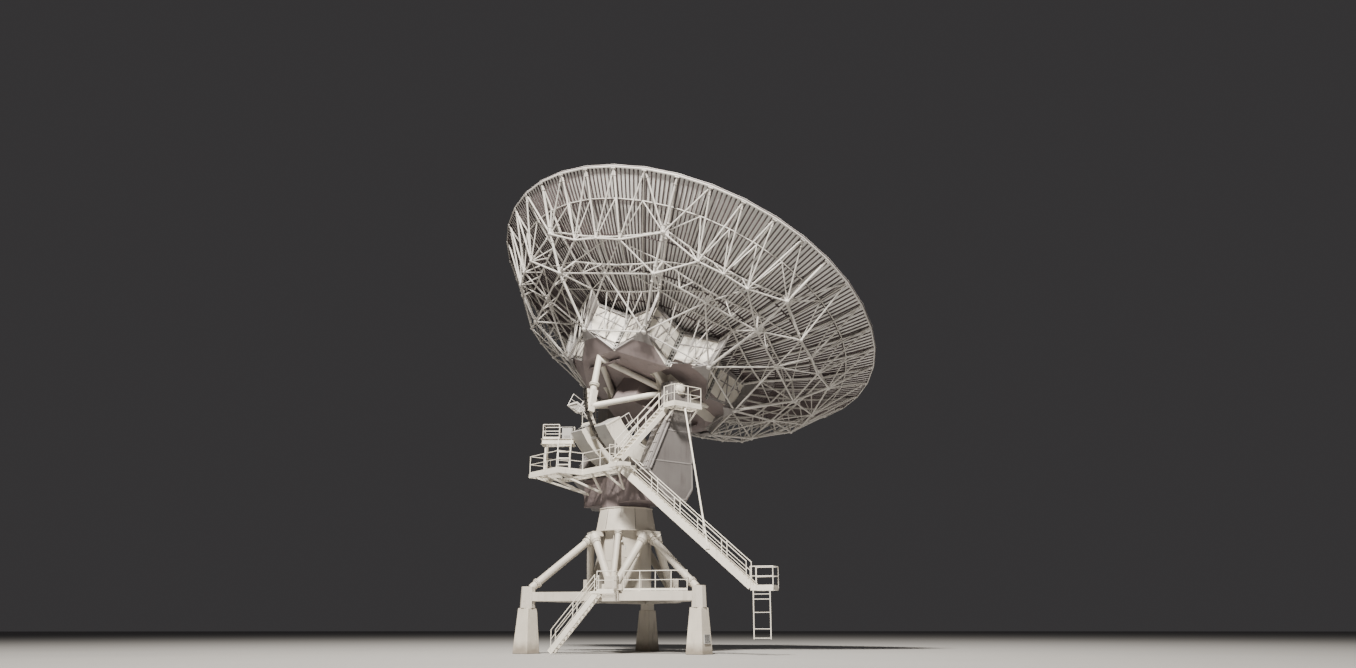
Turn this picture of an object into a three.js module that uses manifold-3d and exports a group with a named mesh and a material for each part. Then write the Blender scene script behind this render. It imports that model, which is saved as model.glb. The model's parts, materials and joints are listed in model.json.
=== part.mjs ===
// Fully steerable radio telescope dish, 25 m across, on a yoke that turns on a three-pier pedestal.
// Millimetres, +Z up. The origin is at the middle of the footprint, on the ground. The elevation
// axis lies along X, and at rest the dish looks towards -Y, 62 degrees above the horizon. The parts
// are laid out about the azimuth axis, and the whole is then moved so that its footprint is centred.

import * as THREE from "three";
import { mergeVertices } from "three/addons/utils/BufferGeometryUtils.js";
import Module from "manifold-3d";

const wasm = await Module();
wasm.setup();

// Driving dimensions of the reflector

const RIM_RADIUS = 12500;
const FOCAL_LENGTH = 9000;
const SECTORS = 8;
const BAYS = 5;
const PANEL_RINGS = [1300, 3200, 5100, 7100, 9050, 10880, RIM_RADIUS];
const PANEL_DEPTH = 90;
const VERTEX_Z = 2810;
const REST_ELEVATION = 62;
const AXIS_SETBACK = 4420;

// Driving dimensions of the back frame, as radius and height along the dish axis

const TOP_CHORD_DROP = 260;
const TOP_NODES = [4600, 6300, 8100, 9800];
const GUSSET_NODE = [5500, 1150];
const MIDDLE_NODE = [8600, 3010];
const OUTER_NODE = [10300, 4650];
const OUTER_RING_NODE = [9950, 3850];
const OUTER_RING_ANGLES = [13.5, 22.5, 31.5];
const MIDDLE_RING_NODE = [7950, 3010];
const CHORD_RADIUS = 85;
const STRUT_RADIUS = 65;
const STRUT_SIDES = 3;
const KNOT_RADIUS = 260;

// Driving dimensions of the tipping structure

const AXIS_HEIGHT = 14700;
const AXIS_OFFSET = 1100;
const TRUNNION_REACH = 2500;
const HUB_CORNER = { low: [5345, 1263], high: [5437, 3236] };
const HUB_FOLD = { low: [4250, 330], high: [4280, 3020] };
const HUB_CROWN = 2400;
const HUB_RECESS_TOP = 1000;
const HUB_BACK_NODE = [3800, 290];
const HUB_RECESS_START = 2200;
const HUB_RECESS_END = 1450;
const HUB_CHORD_NODE = [4950, 2820];
const VERTEX_ROOM_RADIUS = 1750;
const VERTEX_ROOM_BOTTOM = -1250;
const TRUNNION_RADIUS = 230;
const COLLAR_RADIUS = 340;
const BEARING_CLEARANCE = 10;
const GEAR_RADIUS = 4250;
const GEAR_DEPTH = 300;
const GEAR_WIDTH = 220;
const GEAR_HALF_ANGLE = 63;
const WEIGHT_HALF_ANGLE = 32;
const WEIGHT_INNER_RADIUS = 3400;
const WEIGHT_OUTER_RADIUS = 4550;
const WEIGHT_WIDTH = 1100;
const WEIGHT_START = 640;
const HANGER_ANGLE = 22;
const HANGER_RADIUS = 120;

// Driving dimensions of the yoke

const ARM_INNER = 2650;
const ARM_OUTER = 3600;
const YOKE_BOTTOM = 8230;
const YOKE_TOP = 9850;
const DECK_TOP = 10100;
const DECK_THICKNESS = 220;
const PLATFORM_TOP = 13600;
const UPPER_CORNER = [3020, 3980];
const UPPER_LENGTH = 1830;
const UPPER_TOP = 12100;
const UPPER_DEPTH = 300;
const RAIL_HEIGHT = 1070;
const RAIL_RADIUS = 25;
const STAIR_START = [-2535, 2150];
const STAIR_TOP = 9900;
const STAIR_HEADING = 208.8;
const STAIR_RUN = 7463;
const LANDING_TOP = 3350;
const LANDING_LENGTH = 1200;
const STAIR_WIDTH = 850;
const FRAME_FOOT = 800;
const HANGER_TOP = [-4500, -700, PLATFORM_TOP - 180];

// Driving dimensions of the pedestal

const PIER_RADIUS = 5550;
const BASE_TURN = 68.7;
const PIER_TURN = 17;
const PIER_TOP = 2400;
const PIER_HALF_BOTTOM = 530;
const PIER_HALF_TOP = 370;
const BEAM_BOTTOM = 2770;
const BEAM_TOP = 3250;
const BEAM_WIDTH = 460;
const LEG_RADIUS = 215;
const LEG_TOP_RADIUS = 1950;
const LEG_TOP_Z = 6330;
const LEG_SPREAD = 480;
const POST_TOP_RADIUS = 1620;
const POST_RADIUS = 165;
const HEAD_DEPTH = 550;
const HOUSING_BOTTOM = 6650;
const HOUSING_TOP = 8000;
const HOUSING_TOP_RADIUS = 1520;
const HOUSING_BOTTOM_RADIUS = 1760;
const ROOM_RADIUS = 1480;

const GAP = 0.3;
const CUT = 0.8;
const REST_TURN = 90 - REST_ELEVATION;

// Finishes

const paint = new THREE.MeshStandardMaterial({ color: 0xd9d4c9, roughness: 0.5, metalness: 0.1 });
const panelPaint = new THREE.MeshStandardMaterial({ color: 0xc9c1c2, roughness: 0.55, metalness: 0.2 });
const framePaint = new THREE.MeshStandardMaterial({ color: 0xe2e0da, roughness: 0.5, metalness: 0.1 });
const greyPaint = new THREE.MeshStandardMaterial({ color: 0x8d8a86, roughness: 0.6, metalness: 0.1 });
const steel = new THREE.MeshStandardMaterial({ color: 0x57544f, roughness: 0.45, metalness: 0.7 });
const galvanised = new THREE.MeshStandardMaterial({ color: 0xb6b8b6, roughness: 0.45, metalness: 0.6 });
const concrete = new THREE.MeshStandardMaterial({ color: 0xcfc6b4, roughness: 0.9, metalness: 0 });

// Points and angles

const radians = THREE.MathUtils.degToRad;

function point(x, y, z) {
  return new THREE.Vector3(x, y, z);
}

// A point at a radius and an angle about Z, at a height
function polar(radius, degrees, z) {
  return point(radius * Math.cos(radians(degrees)), radius * Math.sin(radians(degrees)), z);
}

// Height of the reflecting surface at a radius, in the dish's own frame
function bowl(radius) {
  return VERTEX_Z + radius ** 2 / (4 * FOCAL_LENGTH);
}

// Geometry that turns into solids

function solid(geometry) {
  const bare = geometry.clone();
  bare.deleteAttribute("normal");
  bare.deleteAttribute("uv");
  const merged = mergeVertices(bare, 1e-3);
  const vertProperties = new Float32Array(merged.attributes.position.array);
  const triVerts = new Uint32Array(merged.index.array);
  return new wasm.Manifold(new wasm.Mesh({ numProp: 3, vertProperties, triVerts }));
}

function join(solids) {
  return solids.reduce((whole, piece) => whole.add(piece));
}

function meshGeometry(manifold) {
  const mesh = manifold.getMesh();
  const positions = new Float32Array(mesh.numVert * 3);
  for (let i = 0; i < mesh.numVert; i += 1) {
    for (let axis = 0; axis < 3; axis += 1) {
      positions[3 * i + axis] = mesh.vertProperties[mesh.numProp * i + axis];
    }
  }
  const geometry = new THREE.BufferGeometry();
  geometry.setAttribute("position", new THREE.BufferAttribute(positions, 3));
  geometry.setIndex(new THREE.BufferAttribute(new Uint32Array(mesh.triVerts), 1));
  const faceted = geometry.toNonIndexed();
  faceted.computeVertexNormals();
  return faceted;
}

// A straight bar between two points, which may taper
function bar(start, end, radius, sides = 4, endRadius = radius) {
  const along = end.clone().sub(start);
  const geometry = new THREE.CylinderGeometry(endRadius, radius, along.length(), sides, 1);
  const turn = new THREE.Quaternion().setFromUnitVectors(point(0, 1, 0), along.clone().normalize());
  geometry.applyQuaternion(turn);
  const middle = start.clone().add(end).multiplyScalar(0.5);
  geometry.translate(middle.x, middle.y, middle.z);
  return solid(geometry);
}

// A bar made thicker and longer by a distance, which is what cuts room for it
function rod(start, end, radius, sides, grow) {
  const more = end.clone().sub(start).setLength(grow || 1e-9);
  return bar(start.clone().sub(more), end.clone().add(more), radius + grow, sides);
}

// A small eight-faced block where bars meet
function knot(centre, radius) {
  const geometry = new THREE.OctahedronGeometry(radius, 0);
  geometry.rotateX(0.3);
  geometry.translate(centre.x, centre.y, centre.z);
  return solid(geometry);
}

// A box section of given width and depth between two points, its depth kept upright
function boxBeam(start, end, width, depth) {
  const along = end.clone().sub(start);
  const geometry = new THREE.BoxGeometry(along.length(), width, depth);
  const forward = along.clone().normalize();
  const side = point(0, 0, 1).cross(forward).normalize();
  const up = forward.clone().cross(side);
  const basis = new THREE.Matrix4().makeBasis(forward, side, up);
  const middle = start.clone().add(end).multiplyScalar(0.5);
  geometry.applyMatrix4(basis.setPosition(middle));
  return solid(geometry);
}

function block(x0, x1, y0, y1, z0, z1) {
  const geometry = new THREE.BoxGeometry(x1 - x0, y1 - y0, z1 - z0);
  geometry.translate((x0 + x1) / 2, (y0 + y1) / 2, (z0 + z1) / 2);
  return solid(geometry);
}

// A counter-clockwise outline with every edge moved out by a distance
function grown(outline, distance) {
  const corners = outline.map(([u, v]) => new THREE.Vector2(u, v));
  const count = corners.length;
  return corners.map((corner, i) => {
    const before = corner.clone().sub(corners[(i + count - 1) % count]).normalize();
    const after = corners[(i + 1) % count].clone().sub(corner).normalize();
    const out = new THREE.Vector2(before.y + after.y, -before.x - after.x);
    const share = distance / (1 + before.dot(after));
    return [corner.x + out.x * share, corner.y + out.y * share];
  });
}

// A plate with an outline in Y and Z, from one X to another
function sidePlate(outline, x0, x1) {
  const shape = new THREE.Shape(outline.map(([y, z]) => new THREE.Vector2(y, z)));
  const geometry = new THREE.ExtrudeGeometry(shape, { depth: x1 - x0, bevelEnabled: false });
  const basis = new THREE.Matrix4().makeBasis(point(0, 1, 0), point(0, 0, 1), point(1, 0, 0));
  geometry.applyMatrix4(basis.setPosition(x0, 0, 0));
  return solid(geometry);
}

// An upright prism or cone with flat sides about Z, a corner at the given angle
function drum(bottomRadius, topRadius, z0, z1, sides, cornerAngle = 0, centre = point(0, 0, 0)) {
  const geometry = new THREE.CylinderGeometry(topRadius, bottomRadius, z1 - z0, sides, 1);
  geometry.rotateX(Math.PI / 2);
  geometry.rotateZ(Math.PI / 2 + radians(cornerAngle));
  geometry.translate(centre.x, centre.y, (z0 + z1) / 2);
  return solid(geometry);
}

// A ring about Z turned from a profile of radius and height
function turnedRing(profile, segments, cornerAngle = 0) {
  const closed = [...profile, profile[0]].map(([radius, z]) => new THREE.Vector2(radius, z));
  const geometry = new THREE.LatheGeometry(closed, segments);
  geometry.rotateX(Math.PI / 2);
  geometry.rotateZ(Math.PI / 2 + radians(cornerAngle));
  const ring = solid(geometry);
  return ring.volume() < 0 ? solid(flipped(geometry)) : ring;
}

function flipped(geometry) {
  const turned = geometry.clone();
  const order = Array.from(turned.index.array);
  for (let i = 0; i < order.length; i += 3) {
    [order[i], order[i + 1]] = [order[i + 1], order[i]];
  }
  turned.setIndex(order);
  return turned;
}

// A closed body from a grid of front points and the same grid moved back
function slab(rows, shift) {
  const height = rows.length;
  const width = rows[0].length;
  const front = rows.flat();
  const corners = [...front, ...front.map((p) => p.clone().add(shift))];
  const back = front.length;
  const faces = [];
  const quad = (a, b, c, d) => faces.push(a, b, c, a, c, d);
  for (let i = 0; i < height - 1; i += 1) {
    for (let j = 0; j < width - 1; j += 1) {
      const a = i * width + j;
      quad(a, a + 1, a + width + 1, a + width);
      quad(back + a, back + a + width, back + a + width + 1, back + a + 1);
    }
  }
  for (let j = 0; j < width - 1; j += 1) {
    const last = (height - 1) * width + j;
    quad(j, back + j, back + j + 1, j + 1);
    quad(last, last + 1, back + last + 1, back + last);
  }
  for (let i = 0; i < height - 1; i += 1) {
    const left = i * width;
    const right = left + width - 1;
    quad(left, left + width, back + left + width, back + left);
    quad(right, back + right, back + right + width, right + width);
  }
  const geometry = new THREE.BufferGeometry();
  const positions = new Float32Array(corners.flatMap((p) => [p.x, p.y, p.z]));
  geometry.setAttribute("position", new THREE.BufferAttribute(positions, 3));
  geometry.setIndex(faces);
  const body = solid(geometry);
  return body.volume() < 0 ? solid(flipped(geometry)) : body;
}

// A railing on a line of points: posts, a hand rail and a knee rail
function railing(line, height = RAIL_HEIGHT, radius = RAIL_RADIUS) {
  const rise = (p, share) => p.clone().add(point(0, 0, height * share));
  const parts = line.map((p) => bar(p, rise(p, 1), radius, STRUT_SIDES));
  for (let i = 0; i < line.length - 1; i += 1) {
    parts.push(bar(rise(line[i], 1), rise(line[i + 1], 1), radius, STRUT_SIDES));
    parts.push(bar(rise(line[i], 0.55), rise(line[i + 1], 0.55), radius, STRUT_SIDES));
  }
  return join(parts);
}

// A flight of steps between two levels: stringers, treads and hand rails
function flight(start, end, width, risers, depth = 280, railEnd = 0.97) {
  const along = end.clone().sub(start);
  const level = point(along.x, along.y, 0).normalize();
  const side = point(-level.y, level.x, 0).multiplyScalar(width / 2);
  const parts = [];
  for (const sign of [-1, 1]) {
    const edge = side.clone().multiplyScalar(sign);
    const low = start.clone().add(edge);
    const high = end.clone().add(edge);
    parts.push(boxBeam(low, high, 60, depth));
    const posts = [0.03, (railEnd + 0.03) / 2, railEnd].map((share) => low.clone().lerp(high, share));
    parts.push(railing(posts));
  }
  for (let i = 1; i < risers; i += 1) {
    const middle = start.clone().lerp(end, i / risers);
    const tread = new THREE.BoxGeometry(240, width, 40);
    const basis = new THREE.Matrix4();
    basis.makeBasis(level, side.clone().normalize(), point(0, 0, 1));
    tread.applyMatrix4(basis.setPosition(middle));
    parts.push(solid(tread));
  }
  return join(parts);
}

// The scene: a fixed base, and a tipping group turned to the rest elevation

const telescope = new THREE.Group();
telescope.position.y = AXIS_SETBACK;
const dish = new THREE.Group();
dish.position.set(0, -AXIS_OFFSET, AXIS_HEIGHT);
dish.rotation.x = radians(REST_TURN);
telescope.add(dish);

function place(name, manifold, material, parent = telescope) {
  const mesh = new THREE.Mesh(meshGeometry(manifold), material);
  mesh.name = name;
  parent.add(mesh);
}

// Reflector: eight sectors of flat panels, forty round the rim

function panelSector(index, grow = 0) {
  const rows = PANEL_RINGS.map((radius) => {
    const row = [];
    for (let bay = 0; bay <= BAYS; bay += 1) {
      const angle = (index + bay / BAYS) * (360 / SECTORS);
      const p = polar(radius, angle, bowl(radius) + grow);
      const edge = bay === 0 ? 1 : bay === BAYS ? -1 : 0;
      const inset = (GAP / 2) * edge * (grow ? -1 : 1);
      const across = polar(inset, angle + 90, 0);
      row.push(p.add(across));
    }
    return row;
  });
  return slab(rows, point(0, 0, -PANEL_DEPTH - 2 * grow));
}

// Back frame: in each sector one radial truss, and the ring bars to the next one

function chordTop(radius, degrees) {
  return polar(radius, degrees, bowl(radius) - TOP_CHORD_DROP);
}

function radialTruss(index, grow = 0) {
  const angle = index * (360 / SECTORS);
  const top = TOP_NODES.map((radius) => chordTop(radius, angle));
  const rim = polar(RIM_RADIUS - 130, angle, bowl(RIM_RADIUS) - 210);
  const inner = polar(4300, angle, HUB_RECESS_TOP + 60);
  const start = polar(...HUB_CHORD_NODE.toSpliced(1, 0, angle));
  const gusset = polar(...GUSSET_NODE.toSpliced(1, 0, angle));
  const middle = polar(...MIDDLE_NODE.toSpliced(1, 0, angle));
  const outer = polar(...OUTER_NODE.toSpliced(1, 0, angle));
  const parts = [];
  const path = [start, top[1], top[3], rim];
  for (let i = 0; i < path.length - 1; i += 1) {
    parts.push(rod(path[i], path[i + 1], CHORD_RADIUS, 4, grow));
  }
  for (const [a, b] of [[inner, gusset], [gusset, middle], [middle, outer], [outer, rim]]) {
    parts.push(rod(a, b, CHORD_RADIUS, 4, grow));
  }
  const webs = [[gusset, top[1]], [middle, top[1]], [middle, top[2]], [outer, top[3]]];
  for (const corner of [gusset, middle, outer]) {
    parts.push(knot(corner, KNOT_RADIUS * 1.3 + grow));
  }
  for (const [a, b] of webs) {
    parts.push(rod(a, b, STRUT_RADIUS, STRUT_SIDES, grow));
  }
  return join(parts);
}

function ringBars(index, grow = 0) {
  const step = 360 / SECTORS;
  const at = (share) => (index + share) * step;
  const node = ([radius, z], degrees) => polar(radius, at(degrees / step), z);
  const rimPoint = (bay) => polar(RIM_RADIUS - 130, at(bay / BAYS), bowl(RIM_RADIUS) - 100);
  const strut = (a, b) => parts.push(rod(a, b, STRUT_RADIUS, STRUT_SIDES, grow));
  const outerRing = OUTER_RING_ANGLES.map((degrees) => node(OUTER_RING_NODE, degrees));
  const ring = [node(OUTER_NODE, 0), ...outerRing, node(OUTER_NODE, step)];
  const middle = node(MIDDLE_RING_NODE, step / 2);
  const parts = [];
  for (let i = 0; i < ring.length - 1; i += 1) {
    strut(ring[i], ring[i + 1]);
  }
  outerRing.forEach((p, i) => {
    parts.push(knot(p, KNOT_RADIUS + grow));
    strut(p, rimPoint(i + 1));
    strut(p, rimPoint(i + 2));
  });
  parts.push(knot(middle, KNOT_RADIUS + grow));
  strut(outerRing[1], middle);
  for (const radius of TOP_NODES.slice(1)) {
    strut(chordTop(radius, at(0)), chordTop(radius, at(1)));
  }
  strut(node(MIDDLE_NODE, 0), middle);
  strut(middle, node(MIDDLE_NODE, step));
  strut(node(GUSSET_NODE, 0), node(GUSSET_NODE, step));
  return join(parts);
}

// Hub: plates that fold in and out between eight corners, over a flat eight-sided floor. Beside the
// trunnions the floor is cut away where the yoke arms swing past.

function hub(grow = 0) {
  const g = grow;
  const at = ([radius, z], turns, lift) => {
    const p = polar(radius + g, turns * (180 / SECTORS), z + lift * g);
    return [p.x, p.y, p.z];
  };
  const wedge = (index) => {
    const turns = 2 * index;
    const points = [at(HUB_CORNER.low, turns, -1), at(HUB_CORNER.high, turns, 1)];
    for (const fold of [turns - 1, turns + 1]) {
      points.push(at(HUB_FOLD.low, fold, -1), at(HUB_FOLD.high, fold, 1));
    }
    points.push([0, 0, HUB_FOLD.low[1] - g], [0, 0, HUB_CROWN + g]);
    return wasm.Manifold.hull(points);
  };
  const whole = join(Array.from({ length: SECTORS }, (_, i) => wedge(i)));
  const free = HUB_RECESS_START + g;
  const recess = (x0, x1) => block(x0, x1, -6000, HUB_RECESS_END - g, 0, HUB_RECESS_TOP - g);
  const bore = VERTEX_ROOM_RADIUS + GAP - g;
  return whole
    .subtract(recess(free, 6000))
    .subtract(recess(-6000, -free))
    .subtract(drum(bore, bore, 0, 3000, SECTORS));
}

function frameSector(index) {
  const next = (index + 1) % SECTORS;
  const whole = radialTruss(index).add(ringBars(index));
  return whole.subtract(radialTruss(next, CUT)).subtract(ringBars(next, CUT)).subtract(hub(GAP));
}

const panelCutter = join(Array.from({ length: SECTORS }, (_, i) => panelSector(i, GAP)));

for (let i = 0; i < SECTORS; i += 1) {
  place(`reflector_panels_${i + 1}`, panelSector(i), panelPaint, dish);
  place(`back_frame_${i + 1}`, largest(frameSector(i).subtract(panelCutter)), framePaint, dish);
}
place("hub", hub(), paint, dish);

// Quadrupod: four legs from the bowl to the apex, where the sub-reflector hangs

const LEG_FOOT_RADIUS = 6300;
const APEX_Z = VERTEX_Z + 8300;
const APEX_RADIUS = 1500;

function quadrupodLeg(index) {
  const angle = 45 + 90 * index;
  const foot = polar(LEG_FOOT_RADIUS, angle, bowl(LEG_FOOT_RADIUS) + GAP);
  const head = polar(APEX_RADIUS - 60, angle, APEX_Z);
  const leg = boxBeam(foot.clone().sub(point(0, 0, 200)), head, 140, 260);
  const shoe = bar(foot, foot.clone().add(point(0, 0, 160)), 320, 8);
  return largest(leg.add(shoe).subtract(panelCutter));
}

function apex(grow = 0) {
  const g = grow;
  const ring = [
    [APEX_RADIUS - 120 - g, APEX_Z - 250 - g],
    [APEX_RADIUS + g, APEX_Z - 250 - g],
    [APEX_RADIUS + g, APEX_Z + 350 + g],
    [APEX_RADIUS - 120 - g, APEX_Z + 350 + g],
  ];
  return turnedRing(ring, 16);
}

for (let i = 0; i < 4; i += 1) {
  place(`quadrupod_leg_${i + 1}`, largest(quadrupodLeg(i).subtract(apex(GAP))), framePaint, dish);
}
place("apex_ring", apex(), framePaint, dish);
place("sub_reflector", drum(900, APEX_RADIUS - 120 - GAP, APEX_Z - 560, APEX_Z + 200, 16), paint, dish);

// Feed cone at the vertex, and the equipment room behind it

place("feed_cone", drum(1250, 1050, bowl(0) - 60, bowl(0) + 2300, 16), paint, dish);

function vertexRoom(grow = 0) {
  const radius = VERTEX_ROOM_RADIUS + grow;
  return drum(radius, radius, VERTEX_ROOM_BOTTOM - grow, bowl(0) - 60 - GAP, SECTORS);
}
place("vertex_room", vertexRoom(), greyPaint, dish);

// Tipping frame: tubes from the hub to both trunnions and to the ends of the gear sector

function gearPoint(radius, degreesFromBottom) {
  const angle = radians(-90 + degreesFromBottom);
  return point(0, radius * Math.cos(angle), radius * Math.sin(angle));
}

function arcPlate(inner, outer, halfAngle, x0, x1, steps) {
  const outline = [];
  for (let i = 0; i <= steps; i += 1) {
    const p = gearPoint(outer, -halfAngle + (2 * halfAngle * i) / steps);
    outline.push([p.y, p.z]);
  }
  for (let i = steps; i >= 0; i -= 1) {
    const p = gearPoint(inner, -halfAngle + (2 * halfAngle * i) / steps);
    outline.push([p.y, p.z]);
  }
  return sidePlate(outline, x0, x1);
}

function hubBack(end) {
  const [reach, height] = HUB_BACK_NODE;
  return point(0, end * reach, height);
}

function frameEnd(end) {
  const back = hubBack(end);
  const foot = gearPoint(GEAR_RADIUS - GEAR_DEPTH - 60, end * 48);
  const head = back.clone().add(back.clone().sub(foot).setLength(900));
  const parts = [bar(foot, head, 170, 6, 230)];
  for (const side of [-1, 1]) {
    const trunnion = point(side * TRUNNION_REACH, 0, 0);
    parts.push(bar(back, trunnion, 150, 6), bar(foot, trunnion, 140, 6));
  }
  return join(parts);
}

function trunnionPiece(side, grow = 0) {
  const middle = point(side * TRUNNION_REACH, 0, 0);
  const inside = point(side * (TRUNNION_REACH - 250 - grow), 0, 0);
  const outside = point(side * (ARM_OUTER + 120), 0, 0);
  const collar = point(side * (ARM_INNER - GAP), 0, 0);
  const parts = [
    bar(inside, outside, TRUNNION_RADIUS + grow, 16),
    bar(middle, collar, COLLAR_RADIUS + grow, 16),
  ];
  const [x0, x1] = [side * (2250 - grow), side * (2600 + grow)].sort((a, b) => a - b);
  parts.push(block(x0, x1, -420 - grow, 420 + grow, -350 - grow, HUB_RECESS_TOP + 40));
  for (const end of [-1, 1]) {
    parts.push(rod(middle, point(side * 2500, end * 2900, HUB_RECESS_TOP + 60), 140, 6, grow));
  }
  return join(parts);
}

function gearSector(grow = 0) {
  const g = grow;
  return arcPlate(
    GEAR_RADIUS - GEAR_DEPTH - g,
    GEAR_RADIUS + g,
    GEAR_HALF_ANGLE,
    -GEAR_WIDTH / 2 - g,
    GEAR_WIDTH / 2 + g,
    28,
  );
}

function counterweight(side, grow = 0) {
  const near = WEIGHT_START - grow;
  const far = WEIGHT_START + WEIGHT_WIDTH + grow;
  const [x0, x1] = side > 0 ? [near, far] : [-far, -near];
  const inner = WEIGHT_INNER_RADIUS - grow;
  const box = arcPlate(inner, WEIGHT_OUTER_RADIUS + grow, WEIGHT_HALF_ANGLE, x0, x1, 6);
  const hangers = [-1, 1].map((end) => {
    const middle = gearPoint(GEAR_RADIUS - GEAR_DEPTH / 2, end * HANGER_ANGLE);
    const start = middle.clone().setX(side * (GEAR_WIDTH / 2 + GAP));
    return bar(start, middle.clone().setX(side * (WEIGHT_START + 50)), HANGER_RADIUS, 8);
  });
  return join([box, ...hangers]);
}

const weights = counterweight(-1, GAP).add(counterweight(1, GAP));
const frameCut = join([hub(GAP), gearSector(GAP), weights, vertexRoom(GAP)]);
const trunnionCut = trunnionPiece(-1, GAP).add(trunnionPiece(1, GAP));
const lowerEnd = frameEnd(-1).subtract(frameCut).subtract(trunnionCut);
const upperEnd = frameEnd(1).subtract(frameCut).subtract(trunnionCut);
place("tipping_frame_front", largest(lowerEnd), paint, dish);
place("tipping_frame_rear", largest(upperEnd), paint, dish);
place("trunnion_left", largest(trunnionPiece(-1).subtract(frameCut)), paint, dish);
place("trunnion_right", largest(trunnionPiece(1).subtract(frameCut)), paint, dish);
place("gear_sector", gearSector(), steel, dish);
place("counterweight_left", counterweight(-1), greyPaint, dish);
place("counterweight_right", counterweight(1), greyPaint, dish);

function largest(manifold) {
  return manifold.decompose().sort((a, b) => b.volume() - a.volume())[0];
}

// Yoke: a box over the azimuth bearing and two arms that carry the trunnions

const ARM_OUTLINE = [
  [-2050, 8900],
  [-1550, 8200],
  [-100, 8200],
  [700, 9280],
  [1300, 9850],
  [-450, 13700],
  [-450, 15100],
  [-1750, 15100],
  [-1950, 13000],
];

function yokeArm(side, grow = 0) {
  const near = ARM_INNER - grow;
  const far = ARM_OUTER + grow;
  const [x0, x1] = side > 0 ? [near, far] : [-far, -near];
  const outline = grown(ARM_OUTLINE, grow);
  const end = (x) => point(x, -AXIS_OFFSET, AXIS_HEIGHT);
  const bore = bar(end(x0 - 10), end(x1 + 10), TRUNNION_RADIUS + BEARING_CLEARANCE, 16);
  return sidePlate(outline, x0, x1).subtract(bore);
}

place("yoke_arm_left", yokeArm(-1), paint);
place("yoke_arm_right", yokeArm(1), paint);
function yokeBase(grow = 0) {
  const reach = ARM_INNER - GAP + grow;
  const box = block(-reach, reach, -1900 - grow, 1150 + grow, YOKE_BOTTOM - grow, YOKE_TOP + grow);
  const radius = HOUSING_TOP_RADIUS - 120 + grow;
  return box.add(drum(radius, radius, HOUSING_TOP + GAP, YOKE_TOP - 100, 12));
}
place("yoke_base", yokeBase(), paint);

// Elevation drive: a gearbox on the yoke with the pinion wheel just clear of the gear sector

const DRIVE_ANGLE = 23;
const PINION_RADIUS = 280;
const PINION_WIDTH = 180;
const pinionReach = GEAR_RADIUS + 12 + PINION_RADIUS;
const pinionY = -AXIS_OFFSET + pinionReach * Math.sin(radians(DRIVE_ANGLE));
const pinionZ = AXIS_HEIGHT - pinionReach * Math.cos(radians(DRIVE_ANGLE));
const pinionEnd = (side) => point(side * PINION_WIDTH / 2, pinionY, pinionZ);
const pinion = bar(pinionEnd(-1), pinionEnd(1), PINION_RADIUS, 16);
const gearbox = block(-600, 600, pinionY - 400, pinionY + 400, YOKE_TOP + GAP, YOKE_TOP + 290);
const half = PINION_WIDTH / 2;
const bracket = block(-half, half, pinionY - 160, pinionY + 160, YOKE_TOP + 280, pinionZ);
place("elevation_drive", join([gearbox, bracket, pinion]), greyPaint);

// Service deck behind the yoke, with its railings

function rearDeck() {
  const low = DECK_TOP - DECK_THICKNESS;
  const walkway = block(-2700, 4100, 1160, 2450, low, DECK_TOP);
  const pad = block(-ARM_OUTER + 50, -2400, 2350, 3050, low, DECK_TOP);
  const bay = block(1000, 4100, 2440, 4150, low, DECK_TOP);
  const brace = (x, y) => bar(point(x, y, low + 40), point(x * 0.6, 1000, YOKE_TOP - 900), 70);
  const braces = [[3700, 3900], [1300, 3900], [-2200, 2300]].map(([x, y]) => brace(x, y));
  const edge = [
    [-2440, 3010],
    [-2440, 2400],
    [-700, 2400],
    [1050, 2400],
    [1050, 4100],
    [2550, 4100],
    [4050, 4100],
    [4050, 1250],
  ];
  const rail = railing(edge.map(([x, y]) => point(x, y, DECK_TOP - 20)));
  const whole = join([walkway, pad, bay, rail, ...braces]);
  return whole.subtract(yokeArm(1, GAP)).subtract(yokeArm(-1, GAP)).subtract(yokeBase(GAP));
}
place("rear_deck", largest(rearDeck()), galvanised);

// Small platform over the end of the deck, with a cabinet on it and steps up to it

const upperTurn = 229.5;
const upperAlong = polar(1, upperTurn, 0);
const upperIn = polar(1, upperTurn + 90, 0);

function onUpper(along, inward, z) {
  const p = point(UPPER_CORNER[0], UPPER_CORNER[1], z);
  return p.addScaledVector(upperAlong, along).addScaledVector(upperIn, inward);
}

function upperPlatform() {
  const middle = UPPER_TOP - UPPER_DEPTH / 2;
  const width = 1000;
  const slabEnds = [onUpper(0, width / 2, middle), onUpper(UPPER_LENGTH, width / 2, middle)];
  const line = [[1000, 40], [40, 40], [40, width - 40], [UPPER_LENGTH - 40, width - 40]];
  const rail = railing(line.map(([a, b]) => onUpper(a, b, UPPER_TOP - 20)), 880);
  const cabinetZ = UPPER_TOP + 340;
  const cabinet = boxBeam(onUpper(1150, 350, cabinetZ), onUpper(1780, 350, cabinetZ), 500, 720);
  const post = (along, inward) => {
    return bar(onUpper(along, inward, DECK_TOP + GAP), onUpper(along, inward, UPPER_TOP - 50), 70);
  };
  const stile = (along) => {
    const foot = onUpper(along, -650, DECK_TOP + 40);
    return boxBeam(foot, onUpper(along, 30, UPPER_TOP - 60), 40, 160);
  };
  const treads = [0.2, 0.4, 0.6, 0.8].map((share) => {
    const z = DECK_TOP + share * (UPPER_TOP - DECK_TOP);
    return boxBeam(onUpper(950, -650 + 680 * share, z), onUpper(1750, -650 + 680 * share, z), 200, 40);
  });
  const posts = [post(200, 150), post(1650, 150), post(200, 850)];
  const floor = boxBeam(...slabEnds, width, UPPER_DEPTH);
  return join([floor, rail, cabinet, ...posts, stile(970), stile(1730), ...treads]);
}
place("upper_platform", upperPlatform(), galvanised);

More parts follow.
